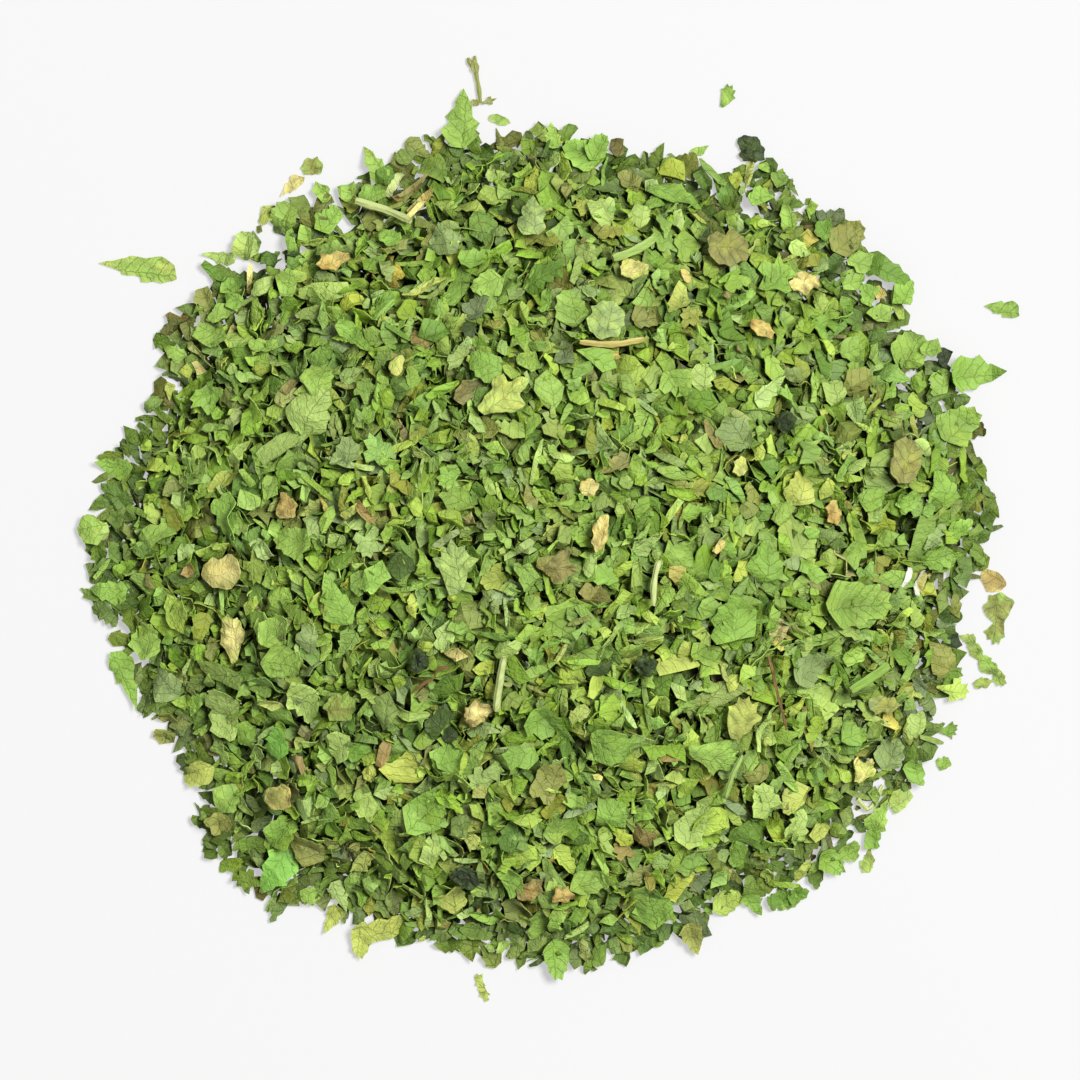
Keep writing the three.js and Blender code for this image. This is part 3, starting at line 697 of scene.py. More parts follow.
# Spots inside the heap's edge, thinner at the rim
inside = np.flatnonzero(goal > heap["edge"] * mm)
insideX = (inside % cells + 0.5 - cells / 2) * cell
insideY = (inside // cells + 0.5 - cells / 2) * cell


def pickShape(largest=9):
    while True:
        kind = dice.choices(kinds, weights=[chipShapes[k]["share"] for k in kinds])[0]
        shape = dice.choice(shapes[kind])
        if shape["half"] * 2 < largest * mm:
            return shape


# Lays chips where they are most wanted, until the heap is filled to a depth below its surface
def layMany(count, shade, tries, spots, below=0.0):
    laid = []
    misses = 0
    while len(laid) < count and misses < 2 * count:
        shape = pickShape()
        scale = dice.uniform(0.85, 1.15)
        options = [dice.randrange(len(inside)) for _ in range(spots)]
        at = max(options, key=lambda i: goal[inside[i]] - heights[inside[i]])
        if goal[inside[at]] - heights[inside[at]] < below:
            misses += 1
            continue
        x, y = insideX[at] + dice.uniform(-0.5, 0.5) * cell, insideY[at] + dice.uniform(-0.5, 0.5) * cell
        onEdge = dice.random() < heap["onEdge"]
        flipped = dice.random() < heap["flipped"]
        lean, sink = (heap["edgeLean"], heap["edgeSink"]) if onEdge else (heap["lean"], heap["sink"])
        matrix = layChip(shape, scale, x, y, tries, lean, flipped, sink)
        if matrix is None:
            misses += 1
            continue
        laid.append((shape["mesh"], matrix, chipColour(flipped, shade)))
    return laid


# The first and last values are painted light and shade: a highlight on chips standing out of the heap's
# surface, and a darker or lighter rim for their curl; the middle one is random tone
chipShade = {"paintedHighlight": 0.12, "uneven": 0.08, "rim": (-0.12, 0.16)}


# A chip's colour at its points: a little uneven, with painted shade darkening it down in the gaps, a painted
# highlight where it stands out of the heap's surface and a painted darker or lighter rim for its curl
def shadeChip(part, colour, paintedGapShade):
    count = len(part.vertices)
    at = np.empty(count * 3)
    part.vertices.foreach_get("co", at)
    at = at.reshape(-1, 3)
    depth = (evened[toCell(at[:, 0], at[:, 1])] - at[:, 2]) / (heap["paintedGapShadeDepth"] * mm)
    # painted shade: the deeper a point lies under the evened heap surface, the darker it is
    level = 1 - paintedGapShade * np.clip(depth + 0.2, 0, 1)
    # painted highlight: points standing out of the evened heap surface are lighter
    level += chipShade["paintedHighlight"] * np.clip(-depth - 0.2, 0, 1)
    wave = at / mm @ np.array((1.3, 1.7, 0.9)) + dice.uniform(0, math.tau)
    rim = np.empty(count, np.float32)
    part.attributes["rim"].data.foreach_get("value", rim)
    # painted shade and light: a random darker or lighter rim for the chip's curl; the wave is random tone
    level *= 1 + chipShade["uneven"] * np.sin(wave) + dice.uniform(*chipShade["rim"]) * rim
    values = np.tile(np.array(colour, np.float32), (count, 1))
    values[:, :3] *= level[:, None]
    return values.ravel()


# Joins laid chips in pieces of a size that the export takes
def buildChips(name, laid, paintedGapShade=heap["paintedGapShade"], most=165000):
    pieces, bm, used = [], bmesh.new(), 0

    def close():
        mesh = bpy.data.meshes.new(name)
        bm.to_mesh(mesh)
        bm.free()
        pieces.append(link(mesh, f"{name}_{len(pieces) + 1}", leaf, "green"))
        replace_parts(pieces[-1], "leaf_heap")

    for shapeMesh, matrix, colour in laid:
        if used + trianglesOf(shapeMesh) > most:
            close()
            bm, used = bmesh.new(), 0
        part = shapeMesh.copy()
        part.transform(matrix)
        low = min(v.co.z for v in part.vertices)
        if low < 0:
            part.transform(Matrix.Translation((0, 0, -low)))
        part.attributes["leafColour"].data.foreach_set("color", shadeChip(part, colour, paintedGapShade))
        bm.from_mesh(part)
        used += trianglesOf(shapeMesh)
        bpy.data.meshes.remove(part)
    close()
    return pieces


def trianglesOf(mesh):
    return sum(len(p.vertices) - 2 for p in mesh.polygons)


# The pieces that catch the eye: each stands on its solid's place, thinned to a leaf and crumpled.
# First hue in the middle, second towards the rim, then how strongly veins show and how crumpled it is.
eyeCatchers = {
    "tan_chip_1": ("tan", "rust", 0.1, 1.3), "tan_chip_2": ("straw", "tan", 0.1, 1.2),
    "tan_chip_3": ("tan", "rust", 0.1, 1.4), "tan_chip_4": ("straw", "brown", 0.1, 1.4),
    "tan_chip_5": ("tan", "straw", 0.1, 1.4), "tan_chip_6": ("straw", "tan", 0, 1.4),
    "tan_chip_7": ("olive", "tan", 0.2, 0.7), "brown_chip_1": ("brown", "tan", 0.3, 0.8),
    "brown_chip_2": ("brown", "drab", 0.3, 1.2), "brown_chip_3": ("rust", "tan", 0.1, 1.2),
    "brown_chip_4": ("drab", "olive", 0.5, 1.2), "orange_chip": ("tan", "rust", 0.2, 1.3),
    "yellow_chip_1": ("straw", "yellowGreen", 0, 0.7), "yellow_chip_2": ("yellowGreen", "straw", 0, 0.5),
    "yellow_chip_3": ("yellowGreen", "straw", 0.1, 0.8), "yellow_leaf_1": ("yellowGreen", "soft", 0.5, 0.8),
    "yellow_leaf_2": ("straw", "olive", 0.1, 0.6), "yellow_leaf_3": ("straw", "yellowGreen", 0.3, 0.9),
    "yellow_leaf_4": ("yellowGreen", "olive", 0.2, 0.9), "yellow_leaf_5": ("yellowGreen", "straw", 0.2, 0.9),
    "olive_leaf_1": ("olive", "drab", 0.6, 0.8), "olive_leaf_2": ("olive", "drab", 0.6, 0.8),
    "olive_leaf_3": ("olive", "greyGreen", 0.2, 0.6), "olive_leaf_4": ("olive", "green", 0.5, 0.6),
    "pale_leaf_1": ("greyGreen", "soft", 0.6, 0.7), "pale_leaf_2": ("greyGreen", "soft", 0.6, 0.6),
    "pale_leaf_3": ("soft", "greyGreen", 0.9, 0.6), "broad_leaf": ("green", "fresh", 0.4, 0.7),
    "dark_curl_1": ("black", "dark", 0.4, 2.2), "dark_curl_2": ("black", "dark", 0.4, 2.2),
    "dark_curl_3": ("black", "dark", 0.4, 2.2), "dark_curl_4": ("black", "dark", 0.4, 2.2),
    "loose_leaf_tip": ("green", "yellowGreen", 1, 0.6), "loose_straw_chip": ("straw", "tan", 0.2, 0.8),
    "loose_curl": ("olive", "green", 0.2, 0.9), "loose_chip_1": ("green", "deep", 0.3, 0.8),
    "loose_chip_2": ("green", "soft", 0, 0.5), "loose_dark_curl": ("dark", "black", 0, 2.2),
    "loose_chip_3": ("green", "deep", 0.4, 0.5), "loose_tan_chip": ("brown", "tan", 0.1, 0.6),
    "loose_pair": ("olive", "green", 0.3, 0.8), "loose_chain": ("green", "olive", 0.1, 0.8),
    "loose_chip_4": ("deep", "olive", 0.1, 0.8), "loose_chip_5": ("green", "deep", 0, 0.8),
    "loose_chip_6": ("green", "olive", 0.2, 0.8), "loose_chip_7": ("deep", "green", 0.3, 0.8),
    "loose_crumbs": ("yellowGreen", "green", 0, 0.8), "loose_chip_8": ("green", "soft", 0, 0.6),
}
eyeCatcherSet = {
    "thickness": 0.18,
    "faceOut": 0.55,  # a solid's faces that look out by less than this are left off
    "cuts": 2,
    "evening": 3,  # how often the outline of a torn chip is smoothed
    "evened": ("tan", "orange", "brown", "yellow"),
    "growth": 1.25,
    "ragged": 0.5,
    "crumple": 0.36,
    "lying": 0.4,  # how much of the crumple a stray piece keeps
    "wad": 0.5,
    "wadFolds": 0.4,
    "sunk": 0.25,
}
merge = 0.005 * mm  # corners of a solid closer than this are one
slots = {row["node"]: row["material_slot"] for row in frame["record"]["subparts"]}


# The main directions of a solid: along it, across it and out of its face
def axesOf(bm):
    corners = np.array([v.co for v in bm.verts])
    middle = (corners.min(0) + corners.max(0)) / 2
    _, _, ways = np.linalg.svd(corners - corners.mean(0))
    out = Vector(ways[2]) if ways[2][2] > 0 else -Vector(ways[2])
    along = Vector(ways[0])
    return Vector(middle), along, out.cross(along), out


def paint(bm, colours):
    layer = bm.verts.layers.float_color.new("leafColour")
    for vert in bm.verts:
        vert[layer] = colours(vert)


def finish(bm, name, material, slot, *nodes):
    mesh = bpy.data.meshes.new(name)
    bm.to_mesh(mesh)
    bm.free()
    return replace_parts(link(mesh, name, material, slot), *nodes)


def makeEyeCatcher(name):
    s = eyeCatcherSet
    inner, outer, veins, crumple = eyeCatchers[name]
    lying = name.startswith("loose")
    wad = "curl" in name and "dark" in name
    bm = bmesh.new()
    bm.from_mesh(frame["nodes"][name].data)
    bmesh.ops.remove_doubles(bm, verts=bm.verts, dist=merge)
    bm.normal_update()
    middle, along, across, out = axesOf(bm)
    if lying:
        out = up
        across = out.cross(along)
    hidden = [f for f in bm.faces if f.normal.dot(out) < s["faceOut"]]
    bmesh.ops.delete(bm, geom=hidden, context="FACES")
    bmesh.ops.subdivide_edges(bm, edges=bm.edges, cuts=s["cuts"] + wad, use_grid_fill=True)
    if wad or name.startswith(s["evened"]):
        reach = max((v.co - middle).length for v in bm.verts)
        for _ in range(s["evening"]):
            bmesh.ops.smooth_vert(bm, verts=bm.verts, factor=0.5, use_axis_x=True, use_axis_y=True)
        grow = min(s["growth"], reach / max((v.co - middle).length for v in bm.verts))
        bmesh.ops.scale(bm, verts=bm.verts, vec=(grow, grow, 1), space=Matrix.Translation(-middle))
    plan = bm.verts.layers.float_vector.new("plan")
    for vert in bm.verts:
        vert[plan] = ((vert.co - middle).dot(along), (vert.co - middle).dot(across), 0)
    half = max(abs(v[plan][0]) for v in bm.verts)
    seed = Vector((dice.uniform(0, 90), dice.uniform(0, 90), dice.uniform(0, 90)))
    rims = {v for v in bm.verts if v.is_boundary}
    for vert in bm.verts:
        spot = vert.co / mm + seed
        lift = noise.noise(spot * 0.55) * 1.6 + noise.noise(spot * 1.5) * 0.7
        away = (vert.co - middle).length / half
        vert.co += out * lift * crumple * s["crumple"] * mm * (s["lying"] if lying else 1)
        if wad:
            folds = abs(noise.noise(spot * 1.1)) + 0.5 * abs(noise.noise(spot * 2.4))
            vert.co += out * ((0.9 - away * away) * s["wad"] - folds * 2 * s["wadFolds"]) * mm
            vert.co -= (vert.co - middle) * (0.12 + 0.2 * noise.noise(spot * 0.9))
        if vert in rims:
            ragged = noise.noise(spot * 0.8) + 0.3 * noise.noise(spot * 2.6)
            vert.co += (vert.co - middle).normalized() * ragged * s["ragged"] * mm
    thicken(bm, s["thickness"] * mm)
    low = min(v.co.z for v in bm.verts)
    bmesh.ops.translate(bm, verts=bm.verts, vec=up * -low if lying else out * -s["sunk"] * mm)
    a, b = Vector((*linear(inner), veins)), Vector((*linear(outer), veins))

    def colours(vert):
        away = (vert.co - middle).length / half
        colour = a.lerp(b, max(0, min(1, away * 0.9 - 0.2 + noise.noise(vert.co / mm * 0.8 + seed))))
        # painted crease shade and highlight: noise darkens and lightens the colour, for the light on the
        # crumpled leaf
        paintedCreaseShading = 1 + min(0.2, 0.9 * noise.noise(vert.co / mm * 1.2 + seed) * min(1, crumple))
        return (*(colour.xyz * paintedCreaseShading), veins)

    paint(bm, colours)
    unwrapPlan(bm, 0, Vector((0, ribLine)))
    return finish(bm, name.replace("loose", "stray") + "_leaf", leaf, slots[name], name)


# Stalks: the solid's rod, rounded and ribbed, a little thinner where it dried
stalkHues = {
    "straw_stalk_1": "tan", "straw_stalk_2": "cream", "green_stalk_1": "stalkGreen",
    "green_stalk_2": "cream", "green_stalk_3": "fresh", "thin_stalk_1": "stalkGreen",
    "thin_stalk_2": "cream", "bent_stalk": "cream", "brown_stalk_1": "twig", "brown_stalk_2": "twig",
    "loose_bud_sprig": "olive",
}
stalkSet = {
    "cuts": 2,
    "softest": 0.8,
    "waver": 0.16,
    "ribs": 0.07,
    "endTaper": 0.2,
    "twigThin": 0.16,  # the brown twigs are thinner than their solids
    "twigBend": 1.3,
}


def makeStalk(name):
    s = stalkSet
    twig = name.startswith("brown")
    bm = bmesh.new()
    bm.from_mesh(frame["nodes"][name].data)
    bmesh.ops.remove_doubles(bm, verts=bm.verts, dist=merge)
    bm.normal_update()
    middle, along, across, _ = axesOf(bm)
    bmesh.ops.subdivide_edges(bm, edges=bm.edges, cuts=s["cuts"], use_grid_fill=True)
    bm.normal_update()
    plan = bm.verts.layers.float_vector.new("plan")
    half = max(abs((v.co - middle).dot(along)) for v in bm.verts)
    hue, tip = linear(stalkHues[name]), linear("drab")
    for vert in bm.verts:
        away = vert.co - middle
        vert[plan] = (away.dot(along), away.dot(across) + away.z * 0.5, 0)
        around = math.atan2(vert.normal.z, vert.normal.dot(across))
        end = max(0, abs(away.dot(along)) / half - 0.78) / 0.22
        shrink = noise.noise(vert.co / mm * 0.6) * s["waver"] - s["ribs"] * abs(math.sin(2.5 * around))
        shrink -= s["endTaper"] * end
        vert.co += vert.normal * (shrink - s["twigThin"] * twig) * mm
        if twig:
            bend = noise.noise(Vector((away.dot(along) / mm * 0.45, 3.7, 0)))
            vert.co += across * bend * s["twigBend"] * mm
    bmesh.ops.translate(bm, verts=bm.verts, vec=up * max(0, -min(v.co.z for v in bm.verts)))
    bmesh.ops.recalc_face_normals(bm, faces=bm.faces)
    for face in bm.faces:
        face.smooth = True
    for edge in bm.edges:
        edge.smooth = edge.calc_face_angle(0) < s["softest"]

    def colours(vert):
        end = max(0, abs((vert.co - middle).dot(along)) / half - 0.8) * 2
        mix = min(1, end + 0.3 * max(0, noise.noise(vert.co / mm * 0.9)))
        return (*[(1 - mix) * p + mix * q for p, q in zip(hue, tip)], 0)

    paint(bm, colours)
    unwrapPlan(bm, 0, Vector((0, 0)))
    return finish(bm, name.replace("loose", "stray") + "_skin", stalk, slots[name], name)


eyePieces = [makeEyeCatcher(name) for name in eyeCatchers] + [makeStalk(name) for name in stalkHues]
print("eye catching pieces", len(eyePieces))


# Heap chips stay below these pieces, and clear of their middles
def shelter(name):
    tree = treeOf(name)
    low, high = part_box(name)
    middle = (low + high) / 2
    for x in np.arange(low.x, high.x, cell):
        for y in np.arange(low.y, high.y, cell):
            hit = tree.ray_cast(Vector((x, y, -1)), up)[0]
            if hit:
                index = toCell(np.array([x]), np.array([y]))[0]
                ceiling[index] = hit.z - heap["shelter"] * mm
                shrunk = heap["shelterRim"] * (Vector((x, y)) - middle.xy) + middle.xy
                if tree.ray_cast(Vector((*shrunk, -1)), up)[0]:
                    coverLess.append(index)


coverLess = []
onHeap = [name for name in (*eyeCatchers, *stalkHues) if not name.startswith("loose")]
for name in onHeap:
    shelter(name)
print("sheltered cells", len(coverLess))


# The lowest chips lie flat on the table under the core, some over others, and are seen from below
def layBottom():
    laid = []
    for _ in range(heap["bottomChips"]):
        shape = pickShape()
        radius, angle = heap["bottomReach"] * math.sqrt(dice.random()), dice.uniform(0, math.tau)
        tilt = math.radians(dice.uniform(*heap["bottomLean"]))
        lean = Quaternion((math.cos(angle), math.sin(angle), 0), tilt)
        flipped = dice.random() < 0.5
        spin = Quaternion(up, dice.uniform(0, math.tau)) @ Quaternion((1, 0, 0), math.pi if flipped else 0)
        turned = (lean @ spin).to_matrix()
        low = (shape["feel"] @ np.array(turned).T)[:, 2].min()
        lift = dice.uniform(*heap["bottomLift"])
        place = Vector((radius * math.cos(angle), radius * math.sin(angle), lift)) * mm
        matrix = Matrix.Translation(place - up * low) @ turned.to_4x4()
        laid.append((shape["mesh"], matrix, chipColour(flipped, 1.0)))
    return laid


def report(stage, laid):
    left = round(float((goal - heights)[inside].mean()) / mm, 2)
    print(stage, len(laid), "still to fill", left, "mm, highest", round(float(heights.max()) / mm, 1))


# Near the rim the heap is only a few chips deep: these lie flat where it is still lower than a level
def coverTable(count, level, shade):
    laid = []
    near = np.flatnonzero((goal > heap["bareEdge"] * mm) & ~keepClear)
    for _ in range(count):
        spot = near[dice.randrange(len(near))]
        if heights[spot] > level * mm:
            continue
        x, y = (spot % cells + 0.5 - cells / 2) * cell, (spot // cells + 0.5 - cells / 2) * cell
        flipped = dice.random() < heap["flipped"]
        shape = pickShape(heap["tableLargest"])
        matrix = layChip(shape, 1, x, y, 3, heap["tableLean"], flipped, heap["sink"])
        if matrix:
            laid.append((shape["mesh"], matrix, chipColour(flipped, shade)))
    return laid


# Spots near the rim where the table shows between the chips
bareSpots = [
    (-38.1, 43.5, 1.4), (-32.9, 41.9, 0.7), (-37.1, 40.0, 0.5), (-42.4, 40.2, 0.7), (-40.2, 40.2, 0.6),
    (-25.2, 39.0, 0.4), (-27.7, 45.9, 0.9), (29.6, 49.0, 0.9),
]
gridX = (np.arange(cells * cells) % cells + 0.5 - cells / 2) * cell / mm
gridY = (np.arange(cells * cells) // cells + 0.5 - cells / 2) * cell / mm
for x, y, radius in bareSpots:
    keepClear |= np.hypot(gridX - x, gridY - y) < radius

underDepth = (1 - heap["underShare"]) * heap["coreDrop"] * mm
under = layMany(heap["underChips"], heap["underPaintedShade"], 1, 3, underDepth)
report("under chips", under)
for row in heap["tableChips"]:
    under += coverTable(*row)
report("under and rim chips", under)
over = layMany(heap["overChips"], 1.0, 2, 3)
report("over chips", over)


# Larger leaf pieces that show at their own places: where, how long and wide, turned how far, of what form
# and hue, and how strongly the veins show
showLeaves = [
    (-32.7, 19.6, 8.4, 7.0, 60, "fan", "soft", 1.0), (-46.9, 30.3, 6.0, 4.0, 150, "toothed", "green", 0.4),
    (-39.2, 28.5, 5.6, 2.5, -5, "oval", "green", 0.5), (-31.4, 24.5, 6.2, 5.0, 70, "fan", "green", 0.4),
    (-46.9, 21.6, 6.4, 5.2, 190, "lobed", "fresh", 0.3), (-26.1, 29.8, 7.4, 2.8, -40, "tip", "fresh", 0.3),
    (-21.8, 44.3, 5.2, 3.2, 150, "tip", "fresh", 0.3), (6.0, 56.0, 7.2, 5.2, 155, "fan", "fresh", 0.4),
    (19.3, 50.2, 9.2, 5.2, -15, "tip", "fresh", 0.6),
    (-13.3, 43.3, 6.4, 4.6, 130, "toothed", "greyGreen", 0.7),
    (-9.2, 40.9, 5.2, 4.0, 20, "tip", "fresh", 0.3), (0.4, 38.5, 8.0, 5.4, 25, "toothed", "deep", 0.9),
    (-7.5, 37.2, 5.2, 4.4, 200, "fan", "green", 0.3), (0.9, 34.9, 5.2, 2.1, 80, "oval", "fresh", 0.2),
    (4.3, 34.1, 6.2, 5.0, 100, "fan", "green", 0.5), (8.9, 48.1, 7.0, 5.6, 110, "toothed", "soft", 0.7),
    (14.0, 47.0, 6.0, 4.2, 80, "toothed", "soft", 0.5),
    (19.7, 35.1, 6.2, 3.4, 80, "oval", "yellowGreen", 0.4),
    (-7.8, 25.8, 6.6, 4.6, 150, "fan", "fresh", 0.4), (8.2, 27.0, 7.2, 4.0, -30, "plate", "fresh", 0.3),
    (22.9, 24.5, 6.2, 4.4, 85, "oval", "soft", 0.9), (19.5, 22.6, 7.4, 6.0, -60, "plate", "green", 0.5),
    (-14.8, 30.5, 6.4, 4.2, 15, "oval", "deep", 0.9), (-9.2, 33.6, 6.0, 5.0, 70, "toothed", "slate", 0.9),
    (3.4, 27.4, 5.0, 4.4, 40, "plate", "slate", 0.8), (15.2, 32.7, 5.2, 4.0, 10, "oval", "olive", 0.7),
    (33.1, 38.0, 7.4, 6.2, 45, "lobed", "fresh", 0.5), (45.4, 23.6, 7.2, 5.4, 30, "toothed", "olive", 0.7),
    (52.7, 28.4, 7.0, 6.0, 60, "fan", "green", 0.4), (44.0, 28.4, 5.2, 4.0, 20, "oval", "green", 0.5),
    (40.0, 31.7, 4.6, 4.0, -30, "plate", "fresh", 0.2), (41.6, 22.0, 6.2, 4.0, 100, "toothed", "soft", 0.6),
    (-44.5, 4.6, 9.2, 5.8, 92, "toothed", "fresh", 0.7), (-55.1, 1.7, 7.4, 4.4, 20, "toothed", "green", 0.4),
    (-22.6, 12.8, 8.4, 4.4, 112, "lobed", "mint", 0.3), (-27.4, 13.3, 5.6, 5.0, 90, "fan", "greyGreen", 0.8),
    (-56.1, -13.2, 6.0, 5.0, 80, "fan", "green", 0.4), (-44.5, -22.9, 9.0, 5.8, 95, "toothed", "soft", 0.5),
    (-37.3, -11.8, 6.2, 5.0, 40, "fan", "green", 0.4), (-36.4, -16.1, 7.2, 5.6, -10, "fan", "green", 0.7),
    (-29.1, -7.4, 9.0, 5.0, 110, "tip", "fresh", 0.4),
    (-32.9, -13.4, 6.2, 4.0, 80, "toothed", "greyGreen", 0.6),
    (-33.4, -21.4, 7.4, 6.0, -20, "oval", "soft", 0.9),
    (-53.7, -19.5, 6.2, 5.2, 130, "fan", "greyGreen", 0.8),
    (-23.7, -4.1, 5.2, 4.4, 30, "plate", "fresh", 0.3), (-34.8, 0.8, 7.2, 5.0, 160, "fan", "green", 0.4),
    (27.5, 16.2, 8.4, 5.8, 120, "toothed", "greyGreen", 0.7),
    (36.9, 8.5, 6.2, 5.0, 70, "fan", "yellowGreen", 0.5),
    (56.9, 8.0, 7.4, 6.0, 100, "fan", "fresh", 0.7), (47.3, 7.1, 5.6, 4.0, 15, "oval", "fresh", 0.4),
    (52.4, 6.5, 4.8, 3.4, 30, "oval", "fresh", 0.3), (56.5, -1.1, 5.8, 4.2, 10, "oval", "fresh", 0.9),
    (31.9, -2.1, 6.4, 6.0, 80, "fan", "fresh", 0.9), (38.6, -3.1, 6.4, 4.0, -40, "plate", "fresh", 0.3),
    (44.4, -8.0, 13.0, 7.4, 5, "fan", "green", 0.9), (27.5, -9.8, 11.0, 7.8, 80, "toothed", "fresh", 0.7),
    (38.6, -17.0, 7.4, 5.0, 30, "fan", "greyGreen", 0.4),
    (57.5, -15.6, 7.0, 5.2, 110, "toothed", "olive", 0.6),
    (-37.3, -27.4, 5.4, 4.8, 90, "tip", "leafBright", 0.2),
    (-28.5, -28.3, 5.4, 4.4, 100, "plate", "soft", 0.4),
    (-48.8, -32.2, 5.4, 4.2, 200, "fan", "yellowGreen", 0.6),
    (-44.5, -36.1, 5.4, 5.0, 60, "toothed", "green", 0.5),
    (-22.3, -54.6, 8.4, 4.4, 10, "toothed", "yellowGreen", 1.0),
    (-36.8, -40.4, 6.4, 5.0, 50, "fan", "fresh", 0.4),
    (-33.2, -42.8, 6.2, 5.0, 140, "fan", "olive", 0.8), (1.4, -25.0, 8.4, 5.4, -30, "tip", "fresh", 0.4),
    (10.6, -28.4, 8.4, 6.8, -20, "fan", "fresh", 0.7), (-3.9, -29.8, 8.2, 4.0, 190, "tip", "fresh", 0.3),
    (1.4, -33.2, 8.6, 6.0, 70, "toothed", "olive", 0.9),
    (-16.0, -37.0, 9.4, 6.8, 40, "toothed", "fresh", 0.7),
    (-12.4, -29.8, 7.2, 5.0, 15, "plate", "fresh", 0.3), (2.1, -39.9, 6.2, 4.2, 85, "oval", "green", 0.8),
    (9.9, -37.5, 6.4, 5.4, 60, "plate", "fresh", 0.4), (22.2, -38.5, 9.0, 5.0, 60, "tip", "soft", 0.6),
    (-12.8, -49.6, 6.2, 5.0, 100, "fan", "yellowGreen", 0.9),
    (-4.1, -47.1, 5.4, 4.8, -20, "plate", "fresh", 0.3),
    (-15.8, -43.3, 5.2, 3.4, 80, "oval", "soft", 0.3), (7.2, -47.1, 7.2, 4.4, 15, "fan", "green", 0.5),
    (15.4, -50.6, 8.6, 7.0, 100, "fan", "fresh", 0.9), (44.2, -26.4, 5.4, 4.2, 20, "toothed", "fresh", 0.4),
    (49.7, -29.3, 5.4, 5.0, 70, "fan", "greyGreen", 0.5), (36.5, -39.5, 5.6, 5.0, 60, "tip", "soft", 0.4),
    (39.9, -40.5, 4.6, 4.0, 30, "plate", "yellowGreen", 0.5),
    (31.9, -36.1, 6.4, 5.0, 110, "fan", "soft", 0.5),
]

# Small scraps that stand out by their hue, given alike
scraps = [
    (-18.8, 50.6, 6.0, 1.5, 35, "strip", "brown", 0.3), (-16.8, 49.4, 5.6, 1.4, 42, "strip", "tan", 0.3),
    (-20.6, 52.4, 5.2, 1.3, 58, "strip", "cream", 0.2), (-22.2, -29.0, 4.6, 1.8, 70, "strip", "brown", 0.4),
    (-24.7, 5.0, 4.6, 1.5, -50, "strip", "brown", 0.4), (-49.8, -3.1, 2.8, 2.4, 20, "plate", "brown", 0.4),
    (-55.8, -4.5, 4.0, 2.2, 110, "plate", "drab", 0.4), (20.7, 38.8, 3.2, 2.0, 100, "plate", "tan", 0.3),
    (48.3, 36.6, 2.8, 2.4, 70, "plate", "tan", 0.3), (50.7, 35.1, 6.4, 1.7, 97, "strip", "lime", 0.3),
    (45.0, -30.8, 2.8, 1.3, 80, "plate", "straw", 0.1), (25.4, 0.3, 2.6, 1.2, 50, "strip", "tan", 0.2),
    (52.3, -4.2, 4.4, 1.0, 62, "strip", "white", 0.1), (53.6, -4.9, 4.8, 1.0, 66, "strip", "white", 0.1),
    (-48.8, 25.6, 3.4, 1.6, -35, "plate", "straw", 0.1), (-35.5, 23.0, 4.8, 2.6, 60, "plate", "drab", 0.6),
    (24.3, 15.9, 5.0, 1.4, 118, "strip", "drab", 0.3), (26.6, -50.4, 5.2, 4.0, 30, "fan", "lime", 0.3),
    (12.7, 52.2, 4.6, 4.0, 90, "plate", "olive", 0.5), (23.5, 44.2, 3.4, 2.6, 80, "toothed", "dark", 0.5),
    (-9.9, 31.0, 4.4, 3.0, 80, "toothed", "dark", 0.6), (-42.6, 34.4, 10.5, 1.0, 25, "stem", "soft", 0.2),
    (-19.6, 49.4, 6.2, 0.8, 38, "stem", "olive", 0.2), (-17.5, 48.4, 5.6, 0.8, 45, "stem", "straw", 0.1),
    (-18.0, 51.4, 5.8, 0.7, 40, "stem", "drab", 0.1), (-15.4, 37.6, 7.6, 0.9, 30, "stem", "yellowGreen", 0.2),
    (-14.4, 36.5, 7.0, 0.8, 38, "stem", "soft", 0.2), (-16.8, 36.4, 6.4, 0.8, 22, "stem", "yellowGreen", 0.2),
    (-0.6, 12.4, 7.4, 0.8, 75, "stem", "soft", 0.1), (31.6, -25.0, 8.0, 0.8, 70, "stem", "soft", 0.1),
]

